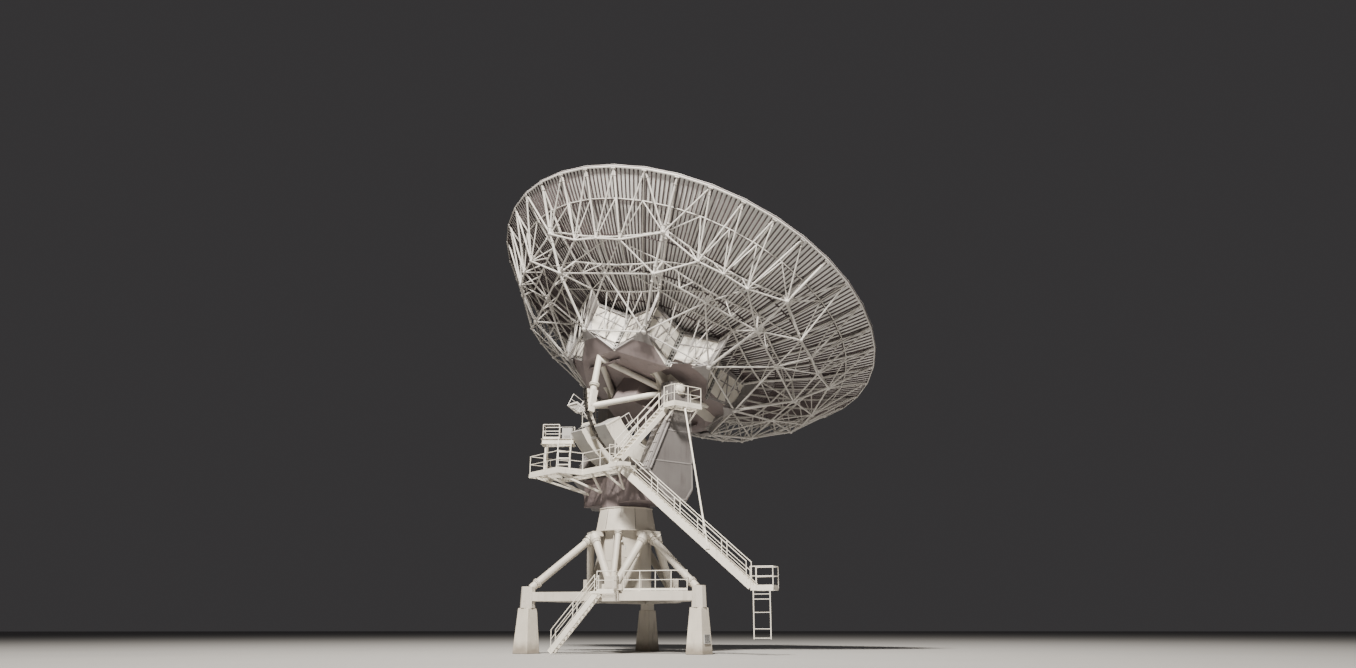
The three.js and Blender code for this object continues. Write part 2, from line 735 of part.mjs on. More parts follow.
// Bearing platforms beside the two trunnions

function bearingPlatform(side) {
  const span = (a, b) => [side * a, side * b].sort((p, q) => p - q);
  const outer = ARM_OUTER + 1000;
  const beside = block(...span(ARM_OUTER - 10, outer), -1900, 150, 13420, PLATFORM_TOP);
  const behind = block(...span(ARM_INNER + 20, outer), -500, -300, 13420, PLATFORM_TOP);
  const line = [
    [ARM_OUTER + 40, -1860],
    [outer - 40, -1860],
    [outer - 40, 110],
    [ARM_OUTER + 40, 110],
  ];
  const rail = railing(line.map(([x, y]) => point(side * x, y, PLATFORM_TOP - 20)));
  return join([beside, behind, rail]).subtract(yokeArm(side, GAP));
}
place("bearing_platform_left", bearingPlatform(-1), galvanised);
place("bearing_platform_right", bearingPlatform(1), galvanised);

// Stairs: one up the left arm, and the long one that hangs beside the base and turns with the yoke

const armStairX = -(ARM_INNER + ARM_OUTER) / 2;
const armStairFoot = point(armStairX, 2950, DECK_TOP + 90);
const armStairHead = point(armStairX, -330, PLATFORM_TOP - 100);
const stairCut = join([rearDeck(), bearingPlatform(-1), yokeArm(-1, GAP)]);
place("arm_stair", largest(flight(armStairFoot, armStairHead, 760, 14).subtract(stairCut)), galvanised);

function hangingStair() {
  const heading = polar(1, STAIR_HEADING, 0);
  const top = point(STAIR_START[0], STAIR_START[1], STAIR_TOP);
  const foot = top.clone().addScaledVector(heading, STAIR_RUN);
  foot.z = LANDING_TOP + 40;
  const far = foot.clone().addScaledVector(heading, LANDING_LENGTH);
  const down = point(0, 0, -120);
  const deck = boxBeam(foot.clone().add(down), far.clone().add(down), STAIR_WIDTH + 160, 160);
  const side = polar(STAIR_WIDTH / 2 + 45, STAIR_HEADING - 90, 0);
  const corners = [foot, far].map((p) => p.clone().add(side).add(down));
  corners.push(...[far, foot].map((p) => p.clone().sub(side).add(down)));
  const rail = railing(corners);
  const stile = (share) => {
    const p = corners[0].clone().lerp(corners[1], share);
    return bar(p, point(p.x, p.y, FRAME_FOOT), 35);
  };
  const rung = (z) => {
    const ends = [0.12, 0.86].map((share) => corners[0].clone().lerp(corners[1], share));
    return bar(point(ends[0].x, ends[0].y, z), point(ends[1].x, ends[1].y, z), 25);
  };
  const hook = top.clone().lerp(foot, 0.69).add(side).add(point(0, 0, 60));
  const hanger = bar(hook, point(...HANGER_TOP), 55, 6);
  const steps = flight(foot, top, STAIR_WIDTH, 30, 380, 0.92);
  return join([steps, deck, rail, stile(0.12), stile(0.86), ...[850, 1300, 2750].map(rung), hanger]);
}
place("hanging_stair", largest(hangingStair().subtract(stairCut)), galvanised);

// Azimuth housing and the pedestal room under it

const housingTurn = BASE_TURN + 2;
const roomFloor = BEAM_TOP - 200;
place(
  "azimuth_housing",
  drum(HOUSING_BOTTOM_RADIUS, HOUSING_TOP_RADIUS, HOUSING_BOTTOM, HOUSING_TOP, 12, housingTurn),
  paint,
);
place(
  "pedestal_room",
  drum(ROOM_RADIUS, ROOM_RADIUS, roomFloor, HOUSING_BOTTOM - GAP, 8, BASE_TURN + 22.5),
  paint,
);

// Legs: one down to each corner, a pair from neighbouring heads down to the middle of a beam, and a
// post from the housing down to the same place

function legTop(index) {
  return polar(LEG_TOP_RADIUS, BASE_TURN + 120 * index, LEG_TOP_Z);
}

function tube(start, end) {
  const along = end.clone().sub(start);
  const collar = (share) => {
    const a = start.clone().addScaledVector(along, share - 0.012);
    const b = start.clone().addScaledVector(along, share + 0.012);
    return bar(a, b, LEG_RADIUS * 1.3, 8);
  };
  return join([bar(start, end, LEG_RADIUS, 8), collar(0.1), collar(0.9)]);
}

function baseBeam(index, grow = 0) {
  const here = BASE_TURN + 120 * index;
  const middle = (BEAM_BOTTOM + BEAM_TOP) / 2;
  const depth = BEAM_TOP - BEAM_BOTTOM + 2 * grow;
  const start = polar(PIER_RADIUS, here, middle);
  const end = polar(PIER_RADIUS, here + 120, middle);
  return boxBeam(start, end, BEAM_WIDTH + 2 * grow, depth);
}

function casting(index, grow = 0) {
  const angle = BASE_TURN + 120 * index;
  const top = BEAM_TOP + 300 + grow;
  return drum(430 + grow, 380 + grow, PIER_TOP + GAP, top, 8, angle + 22.5, polar(PIER_RADIUS, angle, 0));
}

function beamSeat(index, grow = 0) {
  const angle = BASE_TURN + 120 * index + 60;
  const middle = (BEAM_BOTTOM + BEAM_TOP) / 2;
  const inner = polar(PIER_RADIUS / 2 - 230 - grow, angle, middle);
  const outer = polar(PIER_RADIUS / 2 + 430 + grow, angle, middle);
  return boxBeam(inner, outer, 900 + 2 * grow, BEAM_TOP - BEAM_BOTTOM + 60 + 2 * grow);
}

function baseSide(index) {
  const before = baseBeam((index + 2) % 3, GAP);
  const next = casting((index + 1) % 3, GAP);
  const beam = largest(baseBeam(index).subtract(before).subtract(next));
  return join([beam, casting(index), beamSeat(index)]);
}

function cornerLeg(index) {
  const angle = BASE_TURN + 120 * index;
  return tube(legTop(index), polar(PIER_RADIUS - 60, angle, BEAM_TOP + 120));
}

function midLegs(index) {
  const angle = BASE_TURN + 120 * index + 60;
  const foot = polar(PIER_RADIUS / 2 + 60, angle, BEAM_TOP + 20);
  const tops = [[index, 1], [(index + 1) % 3, -1]].map(([head, side]) => {
    const across = polar(side * LEG_SPREAD, BASE_TURN + 120 * head + 90, 0);
    return legTop(head).add(across);
  });
  const postTop = polar(POST_TOP_RADIUS, angle, HOUSING_BOTTOM + 50);
  return join([...tops.map((top) => tube(top, foot)), bar(postTop, foot, POST_RADIUS, 8)]);
}

const housingWide = HOUSING_BOTTOM_RADIUS + GAP;
const roomWide = ROOM_RADIUS + GAP;
const housingCut = drum(housingWide, housingWide, HOUSING_BOTTOM - GAP, 9000, 12, housingTurn);
const roomCut = drum(roomWide, roomWide, roomFloor - 10, 7000, 8, BASE_TURN + 22.5);

function legHead(index, grow = 0) {
  const angle = BASE_TURN + 120 * index;
  const middle = HOUSING_BOTTOM - GAP - HEAD_DEPTH / 2;
  const inner = polar(ROOM_RADIUS - 180, angle, middle);
  const outer = polar(2250 + grow, angle, middle);
  return boxBeam(inner, outer, 1500 + 2 * grow, HEAD_DEPTH + 2 * grow);
}

const seats = join([0, 1, 2].flatMap((k) => [baseBeam(k, GAP), casting(k, GAP), beamSeat(k, GAP)]));
const heads = join([0, 1, 2].map((k) => legHead(k, GAP)));
const corner = PIER_TURN + 45;

for (let i = 0; i < 3; i += 1) {
  const name = ["left", "right", "far"][i];
  const between = ["front", "side", "rear"][i];
  const centre = polar(PIER_RADIUS, BASE_TURN + 120 * i, 0);
  const [low, high] = [PIER_HALF_BOTTOM * Math.SQRT2, PIER_HALF_TOP * Math.SQRT2];
  place(`pier_${name}`, drum(low, high, 0, PIER_TOP, 4, corner, centre), concrete);
  place(`base_${between}`, baseSide(i), paint);
  const leg = cornerLeg(i).add(legHead(i)).subtract(seats).subtract(housingCut).subtract(roomCut);
  place(`corner_leg_${name}`, largest(leg), paint);
  const pair = midLegs(i).subtract(seats).subtract(heads).subtract(housingCut).subtract(roomCut);
  place(`beam_legs_${between}`, largest(pair), paint);
}

// Deck inside the base, the railing on the front beam, and the stair down to the ground

const insideRadius = PIER_RADIUS - BEAM_WIDTH - 200;
const deckPlate = drum(insideRadius, insideRadius, BEAM_TOP - 200, BEAM_TOP - 120, 3, BASE_TURN);
place("base_deck", largest(deckPlate.subtract(seats).subtract(roomCut)), galvanised);

function baseRailing() {
  const along = polar(1, BASE_TURN + 150, 0);
  const middle = polar(PIER_RADIUS / 2 + BEAM_WIDTH / 2 - 60, BASE_TURN + 60, BEAM_TOP + GAP);
  const at = (run, rise) => middle.clone().addScaledVector(along, run).add(point(0, 0, rise));
  const plate = boxBeam(at(700, 15), at(4200, 15), 90, 30);
  return plate.add(railing([700, 1900, 3100, 4200].map((run) => at(run, 20))));
}
place("base_railing", baseRailing(), galvanised);

// The ground stair climbs along the front beam to a landing beside its middle

const stairOut = polar(1, BASE_TURN + 60, 0);
const stairAlong = polar(1, BASE_TURN - 30, 0);

function besideBeam(out, along, z) {
  const p = stairOut.clone().multiplyScalar(PIER_RADIUS / 2 + out);
  return p.addScaledVector(stairAlong, along).add(point(0, 0, z));
}

const stairTop = besideBeam(705, 610, BEAM_TOP - 125);
const stairFoot = besideBeam(705, 3150, 60);
const landingZ = BEAM_TOP - 60;
const landing = boxBeam(besideBeam(200, 250, landingZ), besideBeam(1120, 250, landingZ), 1300, 120);
const landingCorners = [[310, -355], [1085, -355], [1085, 560]];
const landingRail = railing(landingCorners.map(([out, along]) => besideBeam(out, along, BEAM_TOP - 30)));
const ground = block(-9000, 9000, -9000, 9000, -500, 0);
const groundStair = join([flight(stairFoot, stairTop, 760, 14), landing, landingRail]);
place("ground_stair", largest(groundStair.subtract(seats).subtract(ground)), galvanised);

const model = new THREE.Group();
model.add(telescope);

export default model;
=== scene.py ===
# %% [markdown]
# A fully steerable radio telescope, 25 m across, seen from behind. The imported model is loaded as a
# fixed frame in metres. Every piece below is worked out in that same frame, as numpy arrays.

import json
import math

import bmesh
import bpy
import numpy as np
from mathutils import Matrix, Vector

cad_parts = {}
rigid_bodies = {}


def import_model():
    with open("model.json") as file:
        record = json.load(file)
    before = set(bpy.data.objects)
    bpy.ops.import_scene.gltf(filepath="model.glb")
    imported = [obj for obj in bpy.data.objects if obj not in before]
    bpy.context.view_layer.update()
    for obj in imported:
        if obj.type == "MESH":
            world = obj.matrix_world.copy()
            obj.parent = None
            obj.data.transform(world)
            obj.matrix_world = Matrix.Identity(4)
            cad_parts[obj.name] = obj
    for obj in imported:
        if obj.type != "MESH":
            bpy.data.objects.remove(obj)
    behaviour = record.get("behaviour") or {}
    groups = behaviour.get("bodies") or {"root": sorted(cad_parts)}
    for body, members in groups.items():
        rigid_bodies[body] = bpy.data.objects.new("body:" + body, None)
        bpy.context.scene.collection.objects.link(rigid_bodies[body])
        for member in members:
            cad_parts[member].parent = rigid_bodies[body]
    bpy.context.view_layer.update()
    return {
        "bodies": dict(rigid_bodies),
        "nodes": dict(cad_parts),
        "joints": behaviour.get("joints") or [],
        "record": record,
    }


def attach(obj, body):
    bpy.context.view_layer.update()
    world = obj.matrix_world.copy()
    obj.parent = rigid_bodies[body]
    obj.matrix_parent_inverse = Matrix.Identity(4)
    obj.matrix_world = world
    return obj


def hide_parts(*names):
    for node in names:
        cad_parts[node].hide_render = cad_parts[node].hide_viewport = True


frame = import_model()
nodes = frame["nodes"]
print("CAD nodes:", len(nodes))

# %% [markdown]
# All shapes are lists of patches: an array of points and arrays of faces. A patch can be moved and
# many can be joined into one mesh, so a truss of three hundred tubes is still one quick piece. The
# same truss could be built from primitives added one by one, but that is slow and hard to change.

# %% Patches and meshes
SMOOTH_BELOW = 32
BEVEL_ABOVE = 40


def unit(v):
    """A vector, or rows of vectors, divided by length."""
    v = np.asarray(v, float)
    return v / np.maximum(np.linalg.norm(v, axis=-1, keepdims=True), 1e-12)


def merged(patches):
    """Patches set one after the other: each one's face numbers move up by the points before it."""
    points, faces, start = [], [], 0
    for p, fs in patches:
        points.append(p)
        faces.extend(f + start for f in fs if len(f))
        start += len(p)
    return np.concatenate(points), faces


def grid_faces(rows, cols, close_rows=False, close_cols=False):
    """Four-cornered faces between neighbours of a grid of points, wrapped where it closes."""
    i = np.arange(rows if close_rows else rows - 1)[:, None]
    j = np.arange(cols if close_cols else cols - 1)[None, :]
    i2, j2 = (i + 1) % rows, (j + 1) % cols
    corners = [i * cols + j, i * cols + j2, i2 * cols + j2, i2 * cols + j]
    return np.stack([np.broadcast_to(c, (i.size, j.size)) for c in corners], -1).reshape(-1, 4)


def added(name, data):
    """A new object for a mesh, a lamp or a camera, linked into the scene."""
    thing = bpy.data.objects.new(name, data)
    bpy.context.scene.collection.objects.link(thing)
    return thing


def rounded(piece, width, above):
    """A bevel of two segments on the edges that turn by more than an angle in degrees."""
    edge = piece.modifiers.new("edges", "BEVEL")
    edge.width = width
    edge.segments = 2
    edge.limit_method = "ANGLE"
    edge.angle_limit = math.radians(above)
    return edge


def make_piece(name, patches, material, body, replaces=(), bevel=0.0):
    """One mesh object from patches, smooth except at edges that turn by more than 32 degrees."""
    points, faces = merged(patches)
    mesh = bpy.data.meshes.new(name)
    sizes = np.concatenate([np.full(len(f), f.shape[1], np.int32) for f in faces])
    starts = np.concatenate([[0], np.cumsum(sizes)[:-1]]).astype(np.int32)
    loops = np.concatenate([f.ravel() for f in faces]).astype(np.int32)
    mesh.vertices.add(len(points))
    mesh.vertices.foreach_set("co", points.astype(np.float32).ravel())
    mesh.loops.add(len(loops))
    mesh.loops.foreach_set("vertex_index", loops)
    mesh.polygons.add(len(sizes))
    mesh.polygons.foreach_set("loop_start", starts)
    mesh.polygons.foreach_set("loop_total", sizes)
    mesh.update(calc_edges=True)
    mesh.validate()
    mesh.polygons.foreach_set("use_smooth", np.ones(len(mesh.polygons), bool))
    mesh.set_sharp_from_angle(angle=math.radians(SMOOTH_BELOW))
    mesh.materials.append(material)
    piece = added(name, mesh)
    if bevel:
        rounded(piece, bevel, BEVEL_ABOVE)
    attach(piece, body)
    if replaces:
        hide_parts(*replaces)
    print(name, "faces:", int((sizes - 2).sum()))
    return piece


print("pieces are smooth where they turn by less than", SMOOTH_BELOW, "degrees")

# %% [markdown]
# The telescope is mostly straight tubes, so one function makes them all at once. Each tube is a ring
# of points round its start and one round its end, with a cap at both ends. A curve with a round bevel
# would look the same, but it leaves no say over the number of sides, which here keeps the model light.

# %% Tubes


def side_frames(along):
    """Two directions square to each row of directions, and to each other."""
    along = unit(along)
    helper = np.where(np.abs(along[:, 2:3]) > 0.9, [[1.0, 0, 0]], [[0, 0, 1.0]])
    side = unit(np.cross(helper, along))
    return side, np.cross(along, side)


def tubes(starts, ends, radius, sides=8, end_radius=None):
    """Tubes between rows of start and end points: centre + r cos(t) side + r sin(t) over, capped."""
    a = np.atleast_2d(np.asarray(starts, float))
    b = np.atleast_2d(np.asarray(ends, float))
    r0 = np.broadcast_to(np.asarray(radius, float), (len(a),))
    r1 = r0 if end_radius is None else np.broadcast_to(np.asarray(end_radius, float), (len(a),))
    side, over = side_frames(b - a)
    t = np.arange(sides) * 2 * np.pi / sides
    ring = side[:, None] * np.cos(t)[:, None] + over[:, None] * np.sin(t)[:, None]
    low = a[:, None] + ring * r0[:, None, None]
    high = b[:, None] + ring * r1[:, None, None]
    points = np.concatenate([low, high], 1)
    k = np.arange(sides)
    walls = np.stack([k, (k + 1) % sides, (k + 1) % sides + sides, k + sides], -1)
    caps = np.stack([k[::-1], k + sides])
    step = (np.arange(len(a)) * 2 * sides)[:, None, None]
    return points.reshape(-1, 3), [(walls + step).reshape(-1, 4), (caps + step).reshape(-1, sides)]


print("points of a light tube:", len(tubes((0, 0, 0), (0, 0, 1), 0.1)[0]))

# %% [markdown]
# Rolled and plated steel has flat sides. A box is given by its middle, its three sizes and the way its
# length runs. A beam is a box between two points, which suits members that are known by their ends.

# %% Boxes and beams
UP = np.array([0.0, 0.0, 1.0])
ACROSS = np.array([1.0, 0.0, 0.0])
BOX_SIGNS = np.array([[x, y, z] for x in (-1, 1) for y in (-1, 1) for z in (-1, 1)], float)
BOX_FACES = np.array([[0, 1, 3, 2], [4, 6, 7, 5], [0, 4, 5, 1], [2, 3, 7, 6], [0, 2, 6, 4], [1, 5, 7, 3]])


def boxes(centres, sizes, along=ACROSS, up=UP):
    """Boxes of given length, width and depth, turned so that the length runs along a direction."""
    c = np.atleast_2d(np.asarray(centres, float))
    half = BOX_SIGNS[None] * np.broadcast_to(np.asarray(sizes, float), c.shape)[:, None] / 2
    x = unit(np.broadcast_to(np.asarray(along, float), c.shape))
    y = unit(np.cross(np.broadcast_to(np.asarray(up, float), c.shape), x))
    axes = np.stack([x, y, np.cross(x, y)], 1)
    faces = BOX_FACES[None] + (np.arange(len(c)) * 8)[:, None, None]
    return (c[:, None] + half @ axes).reshape(-1, 3), [faces.reshape(-1, 4)]


def beams(starts, ends, width, depth, up=UP):
    """Boxes from point to point, with the depth kept towards the up direction."""
    a, b = np.atleast_2d(np.asarray(starts, float)), np.atleast_2d(np.asarray(ends, float))
    length = np.linalg.norm(b - a, axis=1)
    size = np.stack([length, np.full(len(a), width), np.full(len(a), depth)], 1)
    return boxes((a + b) / 2, size, b - a, up)


def block(x0, x1, y0, y1, z0, z1):
    """One upright box between its lowest and highest corners."""
    return boxes([(x0 + x1) / 2, (y0 + y1) / 2, (z0 + z1) / 2], [x1 - x0, y1 - y0, z1 - z0])


print("box corners:", len(BOX_SIGNS))

# %% [markdown]
# Drums, collars and cones are turned like work on a lathe: a profile of radius and height is carried
# round Z. A closed profile gives a ring, and one that starts and ends on a flat end gets two caps.
# A matrix then turns the finished shape, so that each one can be thought out lying flat.

# %% Turned shapes, and turning


def turned(profile, segments=48, corner=0.0, closed=True):
    """A profile of radius and height carried once round Z: (r cos t, r sin t, z)."""
    rz = np.asarray(profile, float)
    t = np.arange(segments) * 2 * np.pi / segments + corner
    points = np.stack([np.outer(rz[:, 0], np.cos(t)), np.outer(rz[:, 0], np.sin(t)),
                       np.broadcast_to(rz[:, 1:2], (len(rz), segments))], -1)
    faces = [grid_faces(len(rz), segments, closed, True)]
    if not closed:
        k = np.arange(segments)
        faces += [k[None, ::-1], (k + (len(rz) - 1) * segments)[None]]
    return points.reshape(-1, 3), faces


def capped(profile, segments=48):
    """A turned shape whose profile is open: rings of points, and a flat cap on the first and last."""
    return turned(profile, segments, closed=False)


def moved(patch, turn=None, shift=(0, 0, 0)):
    """A patch turned by a matrix and then shifted."""
    points, faces = patch
    out = points if turn is None else points @ np.asarray(turn, float).T
    return out + np.asarray(shift, float), faces


def looking(axis):
    """The matrix whose third column is an axis, so that a shape made about Z lies about that axis."""
    z = unit(axis)
    x = unit(np.cross(UP, z)) if abs(z[2]) < 0.99 else ACROSS
    return np.column_stack([x, np.cross(z, x), z])


print("an axis along X turns Z to", looking(ACROSS)[:, 2])

# %% [markdown]
# Outdoor paint is never one colour. The large plates have slow changes of tone, grime in streaks that
# run down, a little rust and a fine orange-peel bump. All of it is read from Object
# coordinates, which here are metres, so every patch keeps its true size on every piece. A few short
# helpers name the steps that every finish is made of.

# %% Nodes for a finish


def start_material(name):
    """A shader with no other nodes: helpers that add a node and feed the shader, and its place."""
    material = bpy.data.materials.new(name)
    material.use_nodes = True
    tree = material.node_tree
    tree.nodes.clear()
    out = tree.nodes.new("ShaderNodeOutputMaterial")
    shader = tree.nodes.new("ShaderNodeBsdfPrincipled")
    tree.links.new(shader.outputs[0], out.inputs[0])

    def add(kind, values=(), inputs=(), **settings):
        """A node with its settings, its plain values and the sockets that others feed."""
        node = tree.nodes.new("ShaderNode" + kind)
        for key, value in settings.items():
            setattr(node, key, value)
        for socket, value in dict(values).items():
            node.inputs[socket].default_value = value
        for socket, source in dict(inputs).items():
            tree.links.new(source, node.inputs[socket])
        return node

    def feed(socket, source):
        """Gives the shader's socket a pattern, or one value for the whole surface."""
        if hasattr(source, "links"):
            tree.links.new(source, shader.inputs[socket])
        else:
            shader.inputs[socket].default_value = source

    return material, add, feed, add("TexCoord").outputs["Object"]


def noise(add, place, scale, detail=4, stretch=(1, 1, 1), kind="TexNoise"):
    """A noise or cell pattern in metres, stretched along an axis where the stretch is small."""
    mapping = add("Mapping", {"Scale": stretch}, {"Vector": place})
    values = {"Scale": scale}
    if kind == "TexNoise":
        values["Detail"] = detail
    return add(kind, values, {"Vector": mapping.outputs[0]}).outputs[0]


def ramp(add, source, low, high):
    """A soft step: 0 below the low value, 1 above the high one."""
    return add("MapRange", {"From Min": low, "From Max": high}, {"Value": source}).outputs[0]


def between(add, source, low, high):
    """A pattern from 0 to 1 made to run from the low value to the high one."""
    return add("MapRange", {"To Min": low, "To Max": high}, {"Value": source}).outputs[0]


def combined(add, operation, first, second):
    """Two patterns, or a pattern and a number, put together by one arithmetic operation."""
    if hasattr(second, "links"):
        return add("Math", {}, {0: first, 1: second}, operation=operation).outputs[0]
    return add("Math", {1: second}, {0: first}, operation=operation).outputs[0]


def relief(add, height, strength, distance):
    """The normals of a surface that rises and falls by a distance in metres."""
    return add("Bump", {"Strength": strength, "Distance": distance}, {"Height": height}).outputs[0]


def blend(add, share, first, second):
    """One colour laid over another by a share, which may be a number or a pattern."""
    node = add("Mix", data_type="RGBA")
    for index, value in ((0, share), (6, first), (7, second)):
        if hasattr(value, "links"):
            node.id_data.links.new(value, node.inputs[index])
        else:
            node.inputs[index].default_value = value if index == 0 else (*value, 1.0)
    return node.outputs[2]


print("a pattern is mapped, ramped, combined and blended")

# %% [markdown]
# One function gives every painted plate its weather, and a table gives each paint its colours, from
# clean to dull to grimy, and its gloss. A table is easier to tune against the photograph than ten
# separate materials, because only four values of each are its own.

# %% Paints
RUST = (0.24, 0.10, 0.045)
RUN_DOWN = (1, 1, 0.11)
GRIME_SHARE = 0.55
WAVE_SHARE = 6.0


def outdoor_paint(name, light, dull, grime, gloss):
    """Weathered paint: two tones by a slow noise, grime in streaks that run down, specks of rust."""
    material, add, feed, place = start_material(name)
    tone = blend(add, ramp(add, noise(add, place, 0.55, 5), 0.38, 0.66), light, dull)
    runs = ramp(add, noise(add, place, 3.2, 6, RUN_DOWN), 0.52, 0.74)
    patch = ramp(add, noise(add, place, 0.9, 3), 0.4, 0.65)
    streaks = combined(add, "MULTIPLY", combined(add, "MULTIPLY", runs, GRIME_SHARE), patch)
    specks = ramp(add, noise(add, place, 7.0, 8, (1, 1, 0.45)), 0.70, 0.735)
    rusty = combined(add, "MULTIPLY", specks, patch)
    feed("Base Color", blend(add, rusty, blend(add, streaks, tone, grime), RUST))
    fine = noise(add, place, 60, 3)
    feed("Roughness", between(add, fine, gloss - 0.09, gloss + 0.14))
    waves = combined(add, "MULTIPLY", noise(add, place, 1.6, 3), WAVE_SHARE)
    feed("Normal", relief(add, combined(add, "ADD", waves, fine), 0.25, 0.004))
    return material


PAINTS = {
    "warm white paint": ((0.80, 0.765, 0.69), (0.70, 0.665, 0.60), (0.36, 0.31, 0.27), 0.42),
    "base white paint": ((0.59, 0.55, 0.488), (0.49, 0.455, 0.405), (0.26, 0.225, 0.195), 0.48),
    "white tube paint": ((0.70, 0.68, 0.65), (0.56, 0.54, 0.515), (0.30, 0.265, 0.25), 0.42),
    # the panel backs are made much darker than their paint: painted shade
    "panel back painted shade": ((0.115, 0.090, 0.094), (0.085, 0.064, 0.067), (0.042, 0.030, 0.032), 0.50),
    "reflecting face paint": ((0.83, 0.83, 0.82), (0.77, 0.77, 0.76), (0.55, 0.53, 0.50), 0.50),
    # grey paint made darker as painted shade, for plates that face down and for the shadows of braces
    "flange grey with painted shade": ((0.30, 0.285, 0.282), (0.24, 0.225, 0.223), (0.13, 0.112, 0.112), 0.45),
    # grey paint made darker still as painted shade on the yoke arms
    "grey arm paint with painted shade": ((0.18, 0.170, 0.168), (0.145, 0.134, 0.133), (0.08, 0.065, 0.065), 0.48),
    # a dark paint that is painted shade, for the vertex room and the yoke base
    "housing painted shade": ((0.19, 0.157, 0.160), (0.15, 0.121, 0.124), (0.085, 0.065, 0.067), 0.52),
    "grey paint": ((0.40, 0.395, 0.385), (0.32, 0.315, 0.31), (0.16, 0.15, 0.14), 0.45),
    # not a primer: a dark mauve that is painted shade on faces that look down
    "painted shade on plates": ((0.27, 0.226, 0.227), (0.215, 0.176, 0.177), (0.12, 0.09, 0.092), 0.52),
}
(white_paint, base_paint, tube_paint, panel_back_shade, panel_face, flange_grey_and_shade, arm_grey_and_shade, housing_painted_shade,
 grey_paint, underside_painted_shade) = (outdoor_paint(name, *tones) for name, tones in PAINTS.items())
print("paints:", len(PAINTS))

# %% [markdown]
# Galvanised steel shows its zinc crystals as faint flakes, which is a cell pattern a few centimetres
# wide. Grease on the gear is dark with long smears. Cast concrete has pores, form lines every 0.6 m
# and a damp dark foot. Each is a few small patterns laid over each other, because photographs of the
# surfaces would repeat on pieces of this size.

# %% Zinc, grease, concrete and a near black for painted shade
ZINC_TONE = (0.52, 0.53, 0.53)
FORM_BOARD = 0.6


def zinc(name):
    """Dull galvanised steel: each zinc flake has its own grey and its own gloss."""
    material, add, feed, place = start_material(name)
    flakes = add("TexVoronoi", {"Scale": 26.0}, {"Vector": place}).outputs["Color"]
    grey = add("RGBToBW", {}, {0: flakes}).outputs[0]
    base = blend(add, grey, ZINC_TONE, tuple(0.78 * c for c in ZINC_TONE))
    white_rust = ramp(add, noise(add, place, 1.8, 6, (1, 1, 0.35)), 0.5, 0.75)
    feed("Base Color", blend(add, white_rust, base, (0.62, 0.60, 0.57)))
    feed("Roughness", between(add, grey, 0.34, 0.6))
    feed("Normal", relief(add, noise(add, place, 45, 4), 0.15, 0.002))
    feed("Metallic", 0.55)
    return material


def greased(name):
    """Machined steel under old grease: dark smears over brighter steel."""
    material, add, feed, place = start_material(name)
    smear = ramp(add, noise(add, place, 4.0, 7, (0.3, 1, 1)), 0.40, 0.62)
    feed("Base Color", blend(add, smear, (0.17, 0.16, 0.15), (0.035, 0.03, 0.028)))
    feed("Roughness", between(add, smear, 0.45, 0.22))
    feed("Normal", relief(add, noise(add, place, 30, 5), 0.3, 0.003))
    feed("Metallic", 0.7)
    return material


def cast_concrete(name):
    """Painted concrete: pores, level form lines each 0.6 m, and stains that rise from the ground."""
    material, add, feed, place = start_material(name)
    tone = blend(add, noise(add, place, 1.3, 8), (0.70, 0.65, 0.56), (0.50, 0.46, 0.40))
    height = add("SeparateXYZ", {}, {0: place}).outputs["Z"]
    wobble = combined(add, "MULTIPLY", noise(add, place, 2.2, 5), 0.5)
    damp = ramp(add, combined(add, "SUBTRACT", height, wobble), 0.45, -0.1)
    stained = blend(add, damp, tone, (0.27, 0.235, 0.195))
    runs = ramp(add, noise(add, place, 4.0, 6, (1, 1, 0.12)), 0.55, 0.8)
    feed("Base Color", blend(add, runs, stained, (0.36, 0.32, 0.27)))
    feed("Roughness", 0.88)
    lines = ramp(add, combined(add, "PINGPONG", height, FORM_BOARD), 0.0, 0.012)
    pores = ramp(add, noise(add, place, 38, kind="TexVoronoi"), 0.05, 0.2)
    grain = combined(add, "MULTIPLY", noise(add, place, 90, 4), 0.4)
    rough = combined(add, "ADD", grain, combined(add, "ADD", lines, pores))
    feed("Normal", relief(add, rough, 0.5, 0.006))
    return material


def near_black_finish(name):
    """Near black with a dusty bloom: painted shade in holes, openings and the hub's fold gaps, and dark
    joint lines and a fan hub.
    """
    material, add, feed, place = start_material(name)
    dust = ramp(add, noise(add, place, 5, 5), 0.45, 0.8)
    feed("Base Color", blend(add, dust, (0.022, 0.021, 0.02), (0.10, 0.095, 0.09)))
    feed("Roughness", between(add, dust, 0.42, 0.75))
    return material


galvanised = zinc("galvanised steel")
gear_grease = greased("greased gear steel")
concrete = cast_concrete("painted concrete")
shade_and_black = near_black_finish("painted shade and black parts")
print("all finishes:", len(bpy.data.materials))

# %% [markdown]
# The dish leans 28 degrees from the zenith. Its pieces are worked out upright in its own frame, with
# Z along its axis and zero at the elevation axis, and are then turned and moved into place.

# %% The dish's own frame
LEAN = math.radians(28)
TILT = np.array([[1, 0, 0], [0, math.cos(LEAN), -math.sin(LEAN)], [0, math.sin(LEAN), math.cos(LEAN)]])
ELEVATION_AXIS = np.array([0, 3.32, 14.7])
AZIMUTH_AXIS = np.array([0, 4.42, 0])
RIM = 12.5
VERTEX = 2.81
FOCAL = 9
BAY = 9
SECTOR = 45


def on_dish(patches):
    """Patches from the dish's frame, leaned and moved to the elevation axis."""
    return [moved(p, TILT, ELEVATION_AXIS) for p in patches]


def on_mount(patches):
    """Patches from the frame about the azimuth axis."""
    return [moved(p, None, AZIMUTH_AXIS) for p in patches]


def bowl(radius):
    """Height of the paraboloid: the square of the radius over four focal lengths of 9 m."""
    return VERTEX + np.asarray(radius) ** 2 / (4 * FOCAL)


def polar(radius, degrees, z=0.0):
    """Points from radius, angle and height."""
    a = np.radians(np.asarray(degrees, float))
    r, z = np.broadcast_arrays(np.asarray(radius, float), np.asarray(z, float))
    return np.stack(np.broadcast_arrays(r * np.cos(a), r * np.sin(a), z), -1)


